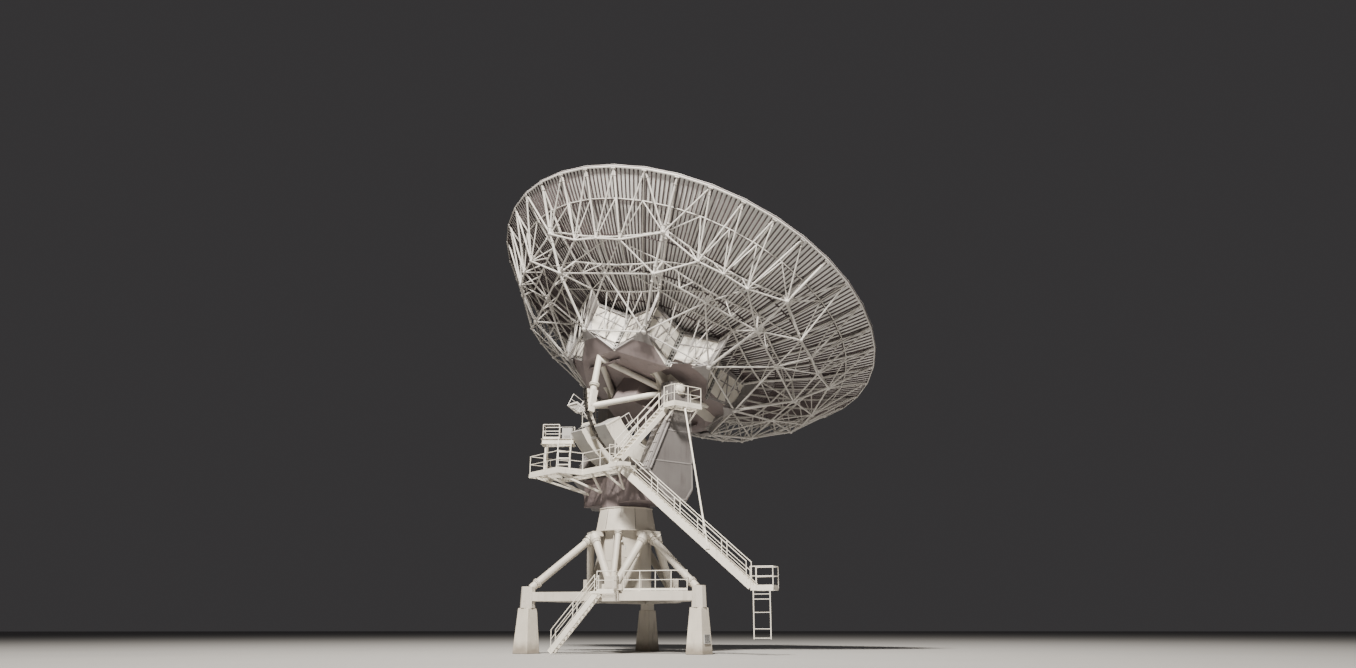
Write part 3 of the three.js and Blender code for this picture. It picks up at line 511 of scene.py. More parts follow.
def on_bowl(radius, degrees, drop=0.0):
    """Points on or under the surface. Each ring is a forty-sided figure, straight between corners."""
    radius, degrees = np.broadcast_arrays(np.asarray(radius, float), np.asarray(degrees, float))
    bay = np.floor(degrees / BAY + 1e-9)
    share = (degrees / BAY - bay)[..., None]
    p = polar(radius, bay * BAY) * (1 - share) + polar(radius, bay * BAY + BAY) * share
    p[..., 2] = bowl(np.hypot(p[..., 0], p[..., 1])) - drop
    return p


print("rim corner in the row frame:", np.round(TILT @ on_bowl(RIM, 0.0) + ELEVATION_AXIS, 2))

# %% [markdown]
# The reflector has six rings of thin panels. Each is a curved skin on the paraboloid, and the gaps
# between them stay open. One smooth bowl would be simpler, but its seams would have to be painted on.

# %% Panel skins
PANEL_RINGS = [1.3, 3.2, 5.1, 7.1, 9.05, 10.88, RIM]
SEAM_STEPS = [30, 18, 18, 9, 9, 9]
SEAM = 0.004
SKIN = 0.012


def sheet_between(front, back):
    """A closed sheet between two grids of points: both grids and the wall round their edges."""
    m, n = front.shape[:2]
    index = np.arange(m * n).reshape(m, n)
    rim = np.concatenate([index[0, :-1], index[:-1, -1], index[-1, :0:-1], index[:0:-1, 0]])
    nxt = np.roll(rim, -1)
    walls = np.stack([rim, rim + m * n, nxt + m * n, nxt], -1)
    points = np.concatenate([front.reshape(-1, 3), back.reshape(-1, 3)])
    top = grid_faces(m, n)
    return points, [top[:, ::-1], top + m * n, walls[:, ::-1]]


def panel_skin(r0, r1, a0, a1):
    """One panel's skin: a grid by angle and radius on the paraboloid, and the same grid below it."""
    angles = np.linspace(a0, a1, 1 + max(3, round((a1 - a0) / 3)))
    inset = np.degrees(SEAM / r1)
    angles[[0, -1]] += [inset, -inset]
    radii = np.linspace(r0 + SEAM, r1 - SEAM, 5)
    front = on_bowl(radii[None], angles[:, None])
    return sheet_between(front, front - [0, 0, SKIN])


print("panel rings:", len(SEAM_STEPS))

# %% [markdown]
# Behind each panel run pressed ribs from its inner to its outer edge, six or seven to a bay, and a
# flange goes round it. From behind they give the dish its fine radial lines, so they are real shapes
# here and not a bump pattern, which would be lost against the light.

# %% Ribs and flanges of the panels
RIBS_PER_STEP = [10, 7, 10, 6, 7, 7]
RIB_WIDE, RIB_NARROW, RIB_DEPTH = 0.085, 0.05, 0.085
FLANGE = 0.012


def lofts(rings):
    """Closed bars through rings of corners, an array of (bars, steps, corners, 3)."""
    n, m, k = rings.shape[:3]
    walls = grid_faces(m, k, False, True)
    caps = np.stack([np.arange(k)[::-1], np.arange(k) + (m - 1) * k])
    step = (np.arange(n) * m * k)[:, None, None]
    return rings.reshape(-1, 3), [(walls + step).reshape(-1, 4), (caps + step).reshape(-1, k)]


def radial_bars(r0, r1, steps, angles, drop, outline):
    """Bars that run outwards under the bowl: an outline of (across, height) carried by radius."""
    angles, outline = np.asarray(angles), np.asarray(outline)
    line = on_bowl(np.linspace(r0, r1, steps)[None], angles[:, None], drop)
    across = polar(1.0, angles + 90)[:, None, None]
    rings = line[:, :, None] + outline[None, None, :, :1] * across
    rings[..., 2] += outline[:, 1]
    return lofts(rings)


def panel_ribs(r0, r1, angles, wide, narrow, depth):
    """Ribs at some angles, with a section that is wide at the skin and narrow at its free edge."""
    outline = [(-narrow / 2, -depth), (narrow / 2, -depth), (wide / 2, 0), (-wide / 2, 0)]
    return radial_bars(r0 + 0.03, r1 - 0.03, 5, angles, SKIN * 0.8, outline)


def ring_flange(radius, a0, a1, depth, thick):
    """A flange along a ring between two angles: straight from corner to corner, square in section."""
    angles = np.arange(a0, a1 + 1e-6, BAY)
    inner, outer = on_bowl(radius - thick / 2, angles), on_bowl(radius + thick / 2, angles)
    low = [0, 0, depth]
    rings = np.stack([outer - low, outer, inner, inner - low], 1)
    return lofts(rings[None])


def panel_sector(k):
    """All panels, ribs and flanges between two main trusses, 45 degrees apart."""
    first = float(SECTOR * k)
    last = first + SECTOR
    skins, ribs = [], []
    for r0, r1, step, count in zip(PANEL_RINGS[:-1], PANEL_RINGS[1:], SEAM_STEPS, RIBS_PER_STEP):
        seams = np.arange(math.ceil(first / step) * step, last, step)
        cuts = np.unique(np.concatenate([[first, last], seams]))
        skins += [panel_skin(r0, r1, a, b) for a, b in zip(cuts[:-1], cuts[1:])]
        total = round(SECTOR / (step / count))
        angles = first + (np.arange(total) + 0.5) * SECTOR / total
        ribs.append(panel_ribs(r0, r1, angles, RIB_WIDE, RIB_NARROW, RIB_DEPTH - FLANGE))
        inset = np.degrees(FLANGE / r1)
        edges = np.concatenate([cuts[:-1] + inset, cuts[1:] - inset])
        ribs.append(panel_ribs(r0, r1, edges, FLANGE, FLANGE, RIB_DEPTH))
        ribs.append(ring_flange(r0 + 0.02, first, last, RIB_DEPTH, FLANGE))
        ribs.append(ring_flange(r1 - 0.012, first, last, RIB_DEPTH, FLANGE))
    return skins, ribs


for k in range(8):
    skins, ribs = panel_sector(k)
    make_piece(f"panel_skins_{k + 1}", on_dish(skins), panel_face, "dish",
               [f"reflector_panels_{k + 1}"])
    # the ribs and flanges take the dark panel back colour, which is painted shade
    make_piece(f"panel_ribs_{k + 1}", on_dish(ribs), panel_back_shade, "dish")

# %% [markdown]
# Behind the panels is a space frame of round tubes. Its main trusses stand every 45 degrees, and
# between them a lower ring of joints, an octagon of straight bars under the panels and many short
# braces share the load. The joints come first: each has a name, a radius and a height, so that the
# tubes can be written down as pairs of joints.

# %% Joints of the back frame
TOP_DROP = 0.26
RING_BARS = (6.3, 8.1, 9.8)
CORNER, MID, ELBOW, ELBOW_MID, GUSSET = (10.3, 4.65), (9.95, 3.85), (8.6, 3.01), (7.95, 3.01), (5.5, 1.15)
MID_ANGLES = np.array([13.5, 22.5, 31.5])


def share_of(a, b, share):
    """The point a share of the way from a to b."""
    return np.asarray(a) * (1 - share) + np.asarray(b) * share


def on_bar(ends, share):
    """A point on a ring bar: straight from above, and as far under the panels as its ends are."""
    p = share_of(*ends, share)
    p[2] = bowl(np.hypot(p[0], p[1])) - TOP_DROP
    return p


def frame_nodes(first):
    """The joints of one sector by name: corners on both trusses and three between them."""
    sides = (first, first + SECTOR)
    bays = first + np.arange(-1, 7) * BAY
    return {
        "corner": [polar(CORNER[0], a, CORNER[1]) for a in sides],
        "mids": polar(MID[0], first + MID_ANGLES, MID[1]),
        "elbow": [polar(ELBOW[0], a, ELBOW[1]) for a in sides],
        "elbow_mid": polar(ELBOW_MID[0], first + SECTOR / 2, ELBOW_MID[1]),
        "gusset": [polar(GUSSET[0], a, GUSSET[1]) for a in sides],
        "top": [[polar(r, a, bowl(r) - TOP_DROP) for a in sides] for r in RING_BARS],
        "rim": polar(RIM - 0.13, bays, bowl(RIM) - 0.12),
        "ring": on_bowl(11.0, bays, 0.20),
    }


print("joints of a sector:", sum(len(np.reshape(v, (-1, 3))) for v in frame_nodes(0.0).values()))

# %% [markdown]
# The tubes have three weights. Chords carry the trusses, struts are their webs and the ring bars, and
# braces are the thin props under the panels. The photograph shows which joints each one runs between.

# %% Tubes of the back frame
CHORD, STRUT, BRACE = 0.078, 0.052, 0.036
HUB_LOW, HUB_HIGH = (5.15, 1.12), (5.36, 3.07)


def in_line(points):
    """The pairs of neighbours in a row of points."""
    return [*zip(points[:-1], points[1:])]


def main_chords(first, at):
    """The heavy tubes of the truss at a sector's first side."""
    inner, _, outer = at["top"]
    upper = [polar(HUB_HIGH[0], first, HUB_HIGH[1]), inner[0], outer[0], at["rim"][1]]
    lower = [polar(HUB_LOW[0], first, HUB_LOW[1]), *(at[name][0] for name in ("gusset", "elbow", "corner")),
             at["rim"][1]]
    return in_line(upper) + in_line(lower)


def struts_between(at):
    """The medium tubes: webs of the main truss, the ring bars and the props up to the rim."""
    c, m, e, g, rim = at["corner"], at["mids"], at["elbow"], at["gusset"], at["rim"]
    inner, middle, outer = at["top"]
    pairs = [(g[0], inner[0]), (e[0], inner[0]), (e[0], middle[0]), (c[0], outer[0])]
    pairs += in_line([c[0], *m, c[1]]) + in_line([e[0], at["elbow_mid"], e[1]])
    pairs += [(m[i], rim[i + 2 + j]) for i in range(3) for j in (0, 1)]
    pairs += [(m[1], at["elbow_mid"]), (g[0], g[1])]
    for bar in at["top"]:
        pairs += in_line([on_bar(bar, share) for share in (0, 0.25, 0.5, 0.75, 1)])
    pairs += [(m[0], e[0]), (m[2], e[1]), (at["elbow_mid"], g[0]), (at["elbow_mid"], g[1])]
    pairs += [(c[0], rim[0]), (c[0], rim[2])]
    return pairs


def braces_between(at):
    """The light tubes: the ring under the outer panels, and props shaped like a V below each bar."""
    c, m, ring = at["corner"], at["mids"], at["ring"]
    inner, middle, outer = at["top"]
    pairs = in_line(ring[1:7]) + [(c[0], ring[i]) for i in range(3)]
    pairs += [(m[i], ring[i + 2 + j]) for i in range(3) for j in (0, 1)]
    pairs += [(m[0], at["elbow_mid"]), (m[2], at["elbow_mid"])]
    for foot, shares in zip(m, [(0.20, 0.34), (0.42, 0.58), (0.66, 0.80)]):
        pairs += [(foot, on_bar(outer, share)) for share in shares]
    for end, shares in zip(at["elbow"], [(0.17, 0.33), (0.67, 0.83)]):
        foot = share_of(end, at["elbow_mid"], 0.5)
        pairs += [(foot, on_bar(middle, share)) for share in shares]
    for share in (0.33, 0.67):
        foot = share_of(*at["gusset"], share)
        pairs += [(foot, on_bar(inner, share + d)) for d in (-0.09, 0.09)]
    for low, high in ((middle, outer), (inner, middle)):
        pairs += [(end, on_bar(high, 0.5)) for end in low]
    return pairs


test_joints = frame_nodes(0.0)
print("struts and braces of a sector:", len(struts_between(test_joints)), len(braces_between(test_joints)))

# %% [markdown]
# The tubes are bolted together: a flange near each end, a round casting where many meet, and plates
# between neighbours at the main joints. The castings could be spheres, but a few rings are enough at
# this distance and keep hundreds of them cheap.

# %% Flanges, castings and gusset plates
COLLAR_INSET, COLLAR_LENGTH = 0.42, 0.045
GUSSET_THICK = 0.018


def collars(pairs, radius):
    """Bolted flanges near both ends of each tube: a short wider tube."""
    a, b = np.array([p[0] for p in pairs]), np.array([p[1] for p in pairs])
    way = unit(b - a)
    out = []
    for start, along in ((a, way), (b, -way)):
        near = start + along * COLLAR_INSET
        out.append(tubes(near, near + along * COLLAR_LENGTH, radius, 8))
    return out


def joint_ball(centre, radius):
    """A faceted joint: a ball of a few rings, squashed a little along the dish's axis."""
    t = np.linspace(-np.pi / 2 + 0.35, np.pi / 2 - 0.35, 5)
    return moved(capped(np.column_stack([radius * np.cos(t), 0.8 * radius * np.sin(t)]), 10), None, centre)


def gusset_plates(centre, ends, size):
    """Plates at a joint: for each pair of neighbouring tubes, a thin triangle between them."""
    way = unit(np.array(ends) - centre)
    out = []
    for u, v in zip(way[:-1], way[1:]):
        normal = unit(np.cross(u, v)) * GUSSET_THICK / 2
        tri = np.array([centre - (u + v) * 0.05, centre + u * size, centre + v * size])
        points = np.concatenate([tri - normal, tri + normal])
        side = np.array([[0, 1, 4, 3], [1, 2, 5, 4], [2, 0, 3, 5]])
        out.append((points, [side, np.array([[2, 1, 0], [3, 4, 5]])]))
    return out


print("flange:", COLLAR_LENGTH, "m long,", COLLAR_INSET, "m from a joint")

# %% [markdown]
# One sector is the tubes of one truss and of the bay beside it, with its purlins and its piece of
# rim. Eight of them, each turned by 45 degrees, close the ring without a joint used twice.

# %% Sectors of the back frame
PURLIN = [(-0.03, -0.10), (0.03, -0.10), (0.03, 0.0), (-0.03, 0.0)]


def back_frame(k):
    """One sector: chords, struts, braces, flanges, joints, purlins and the rim between two trusses."""
    first = float(SECTOR * k)
    at = frame_nodes(first)
    m, c, e, rim, mid = at["mids"], at["corner"], at["elbow"], at["rim"], at["elbow_mid"]
    parts = []
    for pairs, radius, sides in ((main_chords(first, at), CHORD, 12), (struts_between(at), STRUT, 10),
                                 (braces_between(at), BRACE, 8)):
        parts.append(tubes([p[0] for p in pairs], [p[1] for p in pairs], radius, sides))
        if radius > BRACE:
            parts += collars(pairs, radius * 1.45)
    parts += [joint_ball(p, 0.17) for p in (c[0], e[0], at["gusset"][0])]
    parts += [joint_ball(p, 0.125) for p in (*m, mid)]
    parts += gusset_plates(c[0], [m[0], rim[2], rim[1], rim[0]], 0.42)
    parts += gusset_plates(e[0], [mid, m[0], c[0]], 0.42)
    for i in range(3):
        parts += gusset_plates(m[i], [rim[i + 2], rim[i + 3]], 0.3)
    parts += gusset_plates(mid, [e[0], m[1], e[1]], 0.3)
    parts.append(radial_bars(5.2, RIM - 0.1, 9, first + np.arange(1, 5) * BAY, RIB_DEPTH, PURLIN))
    parts.append(ring_flange(RIM - 0.045, first, first + SECTOR, 0.15, 0.055))
    corners = on_bowl(RIM - 0.12, first + np.arange(5) * BAY, 0.09)
    parts.append(boxes(corners, [0.10, 0.26, 0.14], unit(corners * [1, 1, 0])))
    return parts


for k in range(8):
    make_piece(f"truss_{k + 1}", on_dish(back_frame(k)), tube_paint, "dish",
               [f"back_frame_{k + 1}"])

# %% [markdown]
# Plated boxes, such as the hub, the yoke and the pedestal, already have the right form in the CAD
# model. A copy of each has its doubled points merged and its flat faces joined, and a small bevel
# gives it the rounded, light-catching edges of welded and painted plate.

# %% Plated boxes
LEANED_UP = TILT @ UP


def second_tone(mesh, material, direction, least, both_ways=False):
    """A second paint on the faces whose normal lies along a direction by at least a cosine."""
    normals = np.empty(len(mesh.polygons) * 3, np.float32)
    mesh.polygons.foreach_get("normal", normals)
    share = normals.reshape(-1, 3) @ np.asarray(direction, float)
    share = np.abs(share) if both_ways else share
    mesh.materials.append(material)
    mesh.polygons.foreach_set("material_index", (share > least).astype(np.int32))


def plated(node, material, body, bevel=0.012, tone=None):
    """A copy of a CAD node's mesh with merged points, joined flat faces and rounded edges."""
    copy = bmesh.new()
    copy.from_mesh(nodes[node].data)
    bmesh.ops.remove_doubles(copy, verts=copy.verts, dist=2e-4)
    bmesh.ops.dissolve_limit(copy, angle_limit=math.radians(0.4), verts=copy.verts, edges=copy.edges)
    mesh = bpy.data.meshes.new(node + "_plates")
    copy.to_mesh(mesh)
    copy.free()
    mesh.materials.clear()
    mesh.materials.append(material)
    if tone:
        second_tone(mesh, *tone)
    piece = added(mesh.name, mesh)
    rounded(piece, bevel, 20).harden_normals = True
    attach(piece, body)
    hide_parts(node)
    print(piece.name, "faces:", len(mesh.polygons))
    return piece


WEIGHT_ENDS = (white_paint, ACROSS, 0.9, True)
# The hub's faces that look down, away from the dish's axis, take painted shade, and the vertex room, the
# yoke base and the grey yoke arms are darkened as painted shade.
for node, material, body, slot, tone in (
    # the hub's faces that look away from the dish's axis get painted shade
    ("hub", white_paint, "dish", "white_paint", (underside_painted_shade, -LEANED_UP, 0.3)),
    ("vertex_room", housing_painted_shade, "dish", "grey_paint", None),
    ("counterweight_left", grey_paint, "dish", "grey_paint", WEIGHT_ENDS),
    ("counterweight_right", grey_paint, "dish", "grey_paint", WEIGHT_ENDS),
    ("yoke_arm_left", arm_grey_and_shade, "yoke", "white_paint", None),
    ("yoke_arm_right", arm_grey_and_shade, "yoke", "white_paint", None),
    ("yoke_base", housing_painted_shade, "yoke", "white_paint", None),
):
    plated(node, material, body, tone=tone)
for node in ("azimuth_housing", "pedestal_room", "base_front", "base_side", "base_rear"):
    plated(node, base_paint, "base")
for side in ("left", "right", "far"):
    plated(f"pier_{side}", concrete, "base", 0.035)

# %% [markdown]
# The hub's walls fold in and out between eight corners. Each wall has a flange along its top and one
# along its foot, crossed angles on its face, and a cap plate where the load of a truss comes in. The
# flat plates are thin solids between corners given as shares along and up the wall, so they follow it.

# %% Flanges and angles on the hub's walls
CORNER_LOW, CORNER_HIGH = (5.345, 1.263), (5.437, 3.236)
FOLD_LOW, FOLD_HIGH = (4.25, 0.33), (4.28, 3.02)
FOLD_TURN, WALL_TURN = 22.5, 42.2
WALL_ENDS = (0.03, 0.97)
TOP_FLANGE = ((0.03, 0.985), (0.97, 0.985), (0.97, 0.88), (0.03, 0.88))
CAP_PLATE = ((0.0, 0.0), (0.34, 0.0), (0.13, 0.12), (0.05, 0.24), (0.0, 0.5))
CAP_BOLTS = ((0.03, 0.4), (0.04, 0.3), (0.06, 0.2), (0.1, 0.12), (0.18, 0.06), (0.26, 0.03))
WALL_ANGLES = (((0.30, 0.06), (0.30, 0.87)), ((0.62, 0.06), (0.62, 0.87)), ((0.05, 0.55), (0.30, 0.86)),
               ((0.30, 0.06), (0.62, 0.86)), ((0.20, 0.10), (0.95, 0.10)), ((0.04, 0.62), (0.95, 0.62)))


def thin_plate(corners, thick):
    """A flat plate from its corners in order: the outline moved half the thickness both ways."""
    p = np.asarray(corners, float)
    normal = unit(np.cross(p[1] - p[0], p[2] - p[0])) * thick / 2
    n = len(p)
    k = np.arange(n)
    walls = np.stack([k, (k + 1) % n, (k + 1) % n + n, k + n], -1)
    return np.concatenate([p - normal, p + normal]), [walls, k[None, ::-1], (k + n)[None]]


def on_wall(k, side, places, proud):
    """Points on a hub wall, from shares of the way from its corner to its fold and of its height."""
    corner, fold = SECTOR * k, SECTOR * k + side * FOLD_TURN
    share, rise = np.asarray(places, float).T[:, :, None]
    low = share_of(polar(CORNER_LOW[0], corner, CORNER_LOW[1]), polar(FOLD_LOW[0], fold, FOLD_LOW[1]), share)
    high = share_of(polar(CORNER_HIGH[0], corner, CORNER_HIGH[1]), polar(FOLD_HIGH[0], fold, FOLD_HIGH[1]),
                    share)
    return share_of(low, high, rise) + polar(proud, corner + side * WALL_TURN)


def bolt_heads(spots, way, length, size=0.02):
    """Hexagon heads at a row of points: tubes of six sides, as long as a direction times a length."""
    return tubes(spots, spots + np.asarray(way) * length, size, 6)


def foot_flange(k, side):
    """The flange along a wall's foot: none over the bearings, slim beside them, where decks pass."""
    if k in (0, 4):
        return []
    beside_bearing = abs(polar(1, SECTOR * k + side * FOLD_TURN)[0]) > 0.9
    rise, proud, wide, deep = (0.06, 0.005, 0.02, 0.06) if beside_bearing else (0.02, 0.03, 0.06, 0.12)
    ends = on_wall(k, side, [(share, rise) for share in WALL_ENDS], proud)
    return [beams(ends[:1], ends[1:], wide, deep)]


def hub_wall_trim(k, side):
    """The flanges along a wall's top and foot with their bolts, and crossed angles on the wall."""
    outward = polar(1, SECTOR * k + side * WALL_TURN)
    lip = [(share, 0.875) for share in WALL_ENDS]
    edges = np.concatenate([on_wall(k, side, lip, 0.0), on_wall(k, side, lip[::-1], 0.12)])
    flanges = [thin_plate(on_wall(k, side, TOP_FLANGE, 0.02), 0.03), thin_plate(edges, 0.012)]
    flanges += foot_flange(k, side)
    row = [(share, 0.93) for share in np.linspace(0.06, 0.94, 14)]
    flanges.append(bolt_heads(on_wall(k, side, row, 0.035), outward, 0.03, 0.018))
    flanges.append(thin_plate(on_wall(k, side, CAP_PLATE, 0.03), 0.03))
    flanges.append(bolt_heads(on_wall(k, side, CAP_BOLTS, 0.045), outward, 0.03))
    low, high = (on_wall(k, side, [ends[i] for ends in WALL_ANGLES], 0.02) for i in (0, 1))
    return flanges, [beams(low, high, 0.06, 0.06, outward)]


flanges, angles = [], []
for k in range(8):
    for side in (-1, 1):
        rims, bars = hub_wall_trim(k, side)
        flanges += rims
        angles += bars
print("hub walls trimmed:", len(angles))

# %% [markdown]
# Each inward fold is a bolted splice, with a dark strip behind it that is painted shadow in the gap.
# Under each corner a plate with hollowed sides spreads the load, and a fin stands above it in the
# plane of the truss.

# %% Splices and corner plates of the hub


def fold_splice(k):
    """The splice in a fold: two upright bars with battens across and a bolt pair on each batten."""
    angle = SECTOR * k + FOLD_TURN
    z = np.arange(FOLD_LOW[1] + 0.16, FOLD_HIGH[1] - 0.1, 0.24)
    spots = polar(np.full(len(z), 4.36), angle, z)
    parts = [boxes(spots, [0.24, 0.02, 0.10], polar(1, angle + 90))]
    for side in (-1, 1):
        shift = polar(0.085 * side, angle + 90)
        low = polar(FOLD_LOW[0] + 0.09, angle, FOLD_LOW[1] + 0.03) + shift
        high = polar(FOLD_HIGH[0] + 0.09, angle, FOLD_HIGH[1] - 0.05) + shift
        parts.append(beams(low, high, 0.05, 0.03, polar(1, angle)))
        parts.append(bolt_heads(spots + shift, polar(1, angle), 0.035))
    return parts


def hollow_sided(corners, middle, hollow):
    """An outline whose sides bend towards the middle, most at half way: a parabola on each side."""
    outline = []
    for a, b in zip(corners, np.roll(corners, -1, 0)):
        for t in np.linspace(0, 1, 7)[:-1]:
            outline.append(share_of(share_of(a, b, t), middle, hollow * t * (1 - t)))
    return np.array(outline)


def corner_plate(k):
    """The plate under a corner, with hollowed sides, and the fin that stands in the truss's plane."""
    turn = SECTOR * k
    corner = polar(CORNER_LOW[0] + 0.1, turn, CORNER_LOW[1] - 0.08)
    folds = [polar(FOLD_LOW[0] + 0.05, turn + side * FOLD_TURN, FOLD_LOW[1]) for side in (-1, 1)]
    left, right = (share_of(corner, fold, 0.40) for fold in folds)
    tip = polar(5.95, turn, 1.42)
    middle = (left + right + tip) / 3
    outline = hollow_sided([left, right, tip], middle, 0.62)
    below = polar(0.03, turn, -0.04)
    fin = [polar(r, turn, z) for r, z in ((5.40, 1.32), (5.86, 1.72), (6.22, 3.42), (5.48, 3.16))]
    parts = [thin_plate(outline + below, 0.03), thin_plate(fin, 0.02)]
    for (r0, z0), (r1, z1) in (((5.86, 1.72), (6.22, 3.42)), ((5.45, 2.3), (6.0, 2.4))):
        parts.append(beams(polar(r0, turn, z0), polar(r1, turn, z1), 0.14, 0.02))
    normal = unit(np.cross(right - left, tip - left))
    normal = normal if normal[2] < 0 else -normal
    parts.append(bolt_heads(share_of(outline[::2], middle, 0.16) + below, normal, 0.045))
    return parts


splices, seams = [], []
for k in range(8):
    fold = SECTOR * k + FOLD_TURN
    splices += fold_splice(k)
    flanges += corner_plate(k)
    # a dark strip in each fold, painted shadow in the gap
    seams.append(beams(polar(4.32, fold, 0.4), polar(4.35, fold, 2.95), 0.30, 0.02, polar(1, fold)))
# the flanges, corner plates and crossed angles are dark grey: painted shade under the corners, painted
# shadow of the braces on the walls
make_piece("hub_flanges", on_dish(flanges), flange_grey_and_shade, "dish")
make_piece("hub_wall_angles", on_dish(angles), flange_grey_and_shade, "dish")
make_piece("hub_fold_splices", on_dish(splices), grey_paint, "dish")
make_piece("hub_fold_gap_shade", on_dish(seams), shade_and_black, "dish")

# %% [markdown]
# The hub's floor has a beam with round lightening holes on the two sides that the big tubes come from.
# A real hole would need a cut through the plate. A dark disc inside a raised rim stands for its
# inside as painted shade.

# %% Floor beams of the hub
HOLE_HEIGHT = 0.20


def floor_beam(end):
    """The beam under the floor's edge and rims round its lightening holes, and dark discs of painted shade.
    """
    y = end * 3.35
    parts = [boxes((0, y, HOLE_HEIGHT), [3.1, 0.03, 0.26]), boxes((0, y, 0.08), [3.1, 0.16, 0.02])]
    x = np.linspace(-1.2, 1.2, 6)
    spots = np.column_stack([x, np.full(6, y + end * 0.012), np.full(6, HOLE_HEIGHT)])
    parts.append(tubes(spots, spots + [0, end * 0.03, 0], 0.085, 20))
    return parts, tubes(spots + [0, end * 0.001, 0], spots + [0, end * 0.034, 0], 0.068, 20)


beam_front, hole_shade_front = floor_beam(-1)
beam_rear, hole_shade_rear = floor_beam(1)
# the floor beams take the underside colour, which is painted shade
make_piece("hub_floor_beams", on_dish(beam_front + beam_rear), underside_painted_shade, "dish")
make_piece("hub_floor_hole_shade", on_dish([hole_shade_front, hole_shade_rear]), shade_and_black, "dish")

# %% [markdown]
# The legs are big round tubes with a round collar at the head and a bolted flange near each end. Three
# run to the corners of the base and six to the middles of its beams. The flanges are pairs of short
# wide tubes with a gap between, because that gap is what catches the eye in the photograph.

# %% Corner legs
BASE_TURN, BASE_THIRD = 68.7, 120
PIER_RADIUS = 5.55
LEG_TOP_RADIUS, LEG_TOP_Z = 1.95, 6.33
LEG_RADIUS = 0.215
BEAM_TOP = 3.25


def bolt_ring(centre, axis, radius, count, size=0.022, length=0.035):
    """Hexagon bolt heads evenly round a circle about an axis."""
    turn = looking(axis)
    t = np.arange(count) * 2 * np.pi / count
    spots = np.asarray(centre) + (np.outer(np.cos(t), turn[:, 0]) + np.outer(np.sin(t), turn[:, 1])) * radius
    return bolt_heads(spots, turn[:, 2], length, size)


def leg_tube(top, foot):
    """A leg: the round tube, two flanges with a gap line between their halves, and their bolts."""
    way = unit(foot - top)
    parts = [tubes(top, foot, LEG_RADIUS, 32)]
    parts.append(tubes(top - way * 0.10, top + way * 0.28, LEG_RADIUS * 1.34, 28))
    for share in (0.1, 0.9):
        for along in (-way, way):
            near = share_of(top, foot, share) + along * 0.008
            parts.append(tubes(near, near + along * 0.05, LEG_RADIUS * 1.28, 28))
            parts.append(bolt_ring(near + along * 0.05, along, LEG_RADIUS * 1.15, 12))
    return parts


for k, name in enumerate(("left", "right", "far")):
    angle = BASE_TURN + BASE_THIRD * k
    foot = polar(PIER_RADIUS - 0.16, angle, BEAM_TOP + 0.22)
    head_block = boxes(polar(1.80, angle, 6.50), [0.66, 1.30, 0.27], polar(1, angle))
    parts = [*leg_tube(polar(LEG_TOP_RADIUS, angle, LEG_TOP_Z), foot), head_block]
    make_piece(f"corner_leg_{name}_tube", on_mount(parts), base_paint, "base",
               [f"corner_leg_{name}"], bevel=0.01)

# %% [markdown]
# At the middle of each beam two legs meet in a casting, and an upright post from the housing stands
# on it too. The three are made as one piece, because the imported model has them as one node.

# %% Legs and posts at the middles of the beams
POST_TOP_RADIUS = 1.62
POST_RADIUS = 0.165
HOUSING_BOTTOM = 6.65
HEAD_SPACING = 0.48


def middle_post(angle, foot):
    """The post from the housing to a beam's middle, its end flanges, and the casting at its foot."""
    top = polar(POST_TOP_RADIUS, angle, HOUSING_BOTTOM - 0.006)
    way = unit(foot - top)
    along = polar(1, angle + 90)
    parts = [tubes(top + way * 0.02, foot, POST_RADIUS, 28),
             moved(capped([[0.235, -0.05], [0.235, 0.0]], 28), None, top),
             tubes(top + way * 0.16, top + way * 0.21, POST_RADIUS * 1.3, 28),
             boxes(foot + [0, 0, 0.42], [0.72, 0.5, 0.7], along),
             boxes(foot + [0, 0, 0.03], [1.25, 0.62, 0.05], along)]
    for sign in (-1, 1):
        parts.append(boxes(foot + along * sign * 0.42 + [0, 0, 0.2], [0.3, 0.04, 0.3], along))
    return parts


for k, name in enumerate(("front", "side", "rear")):
    angle = BASE_TURN + BASE_THIRD * (k + 0.5)
    foot = polar(PIER_RADIUS / 2 + 0.06, angle, BEAM_TOP + 0.06)
    parts = middle_post(angle, foot)
    for head, side in ((k, 1), ((k + 1) % 3, -1)):
        turn = BASE_TURN + BASE_THIRD * head
        top = polar(LEG_TOP_RADIUS, turn, LEG_TOP_Z) + polar(HEAD_SPACING * side, turn + 90)
        parts += leg_tube(top, foot)
    make_piece(f"beam_legs_{name}_tubes", on_mount(parts), base_paint, "base",
               [f"beam_legs_{name}"], bevel=0.01)

# %% [markdown]
# One pier has a louvred steel panel low on its side. Its slats slope outward and down so that rain
# runs off, and they stand in front of a dark sheet, painted shade for the opening. The slats are seven
# thin boxes in one call.

# %% Louvred panel on a pier
PIER_FACE = 197
PIER_FOOT, PIER_SLOPE = 0.53, 0.16 / 2.4
VENT_WIDTH, VENT_HEIGHT, VENT_Z = 0.52, 0.44, 0.78


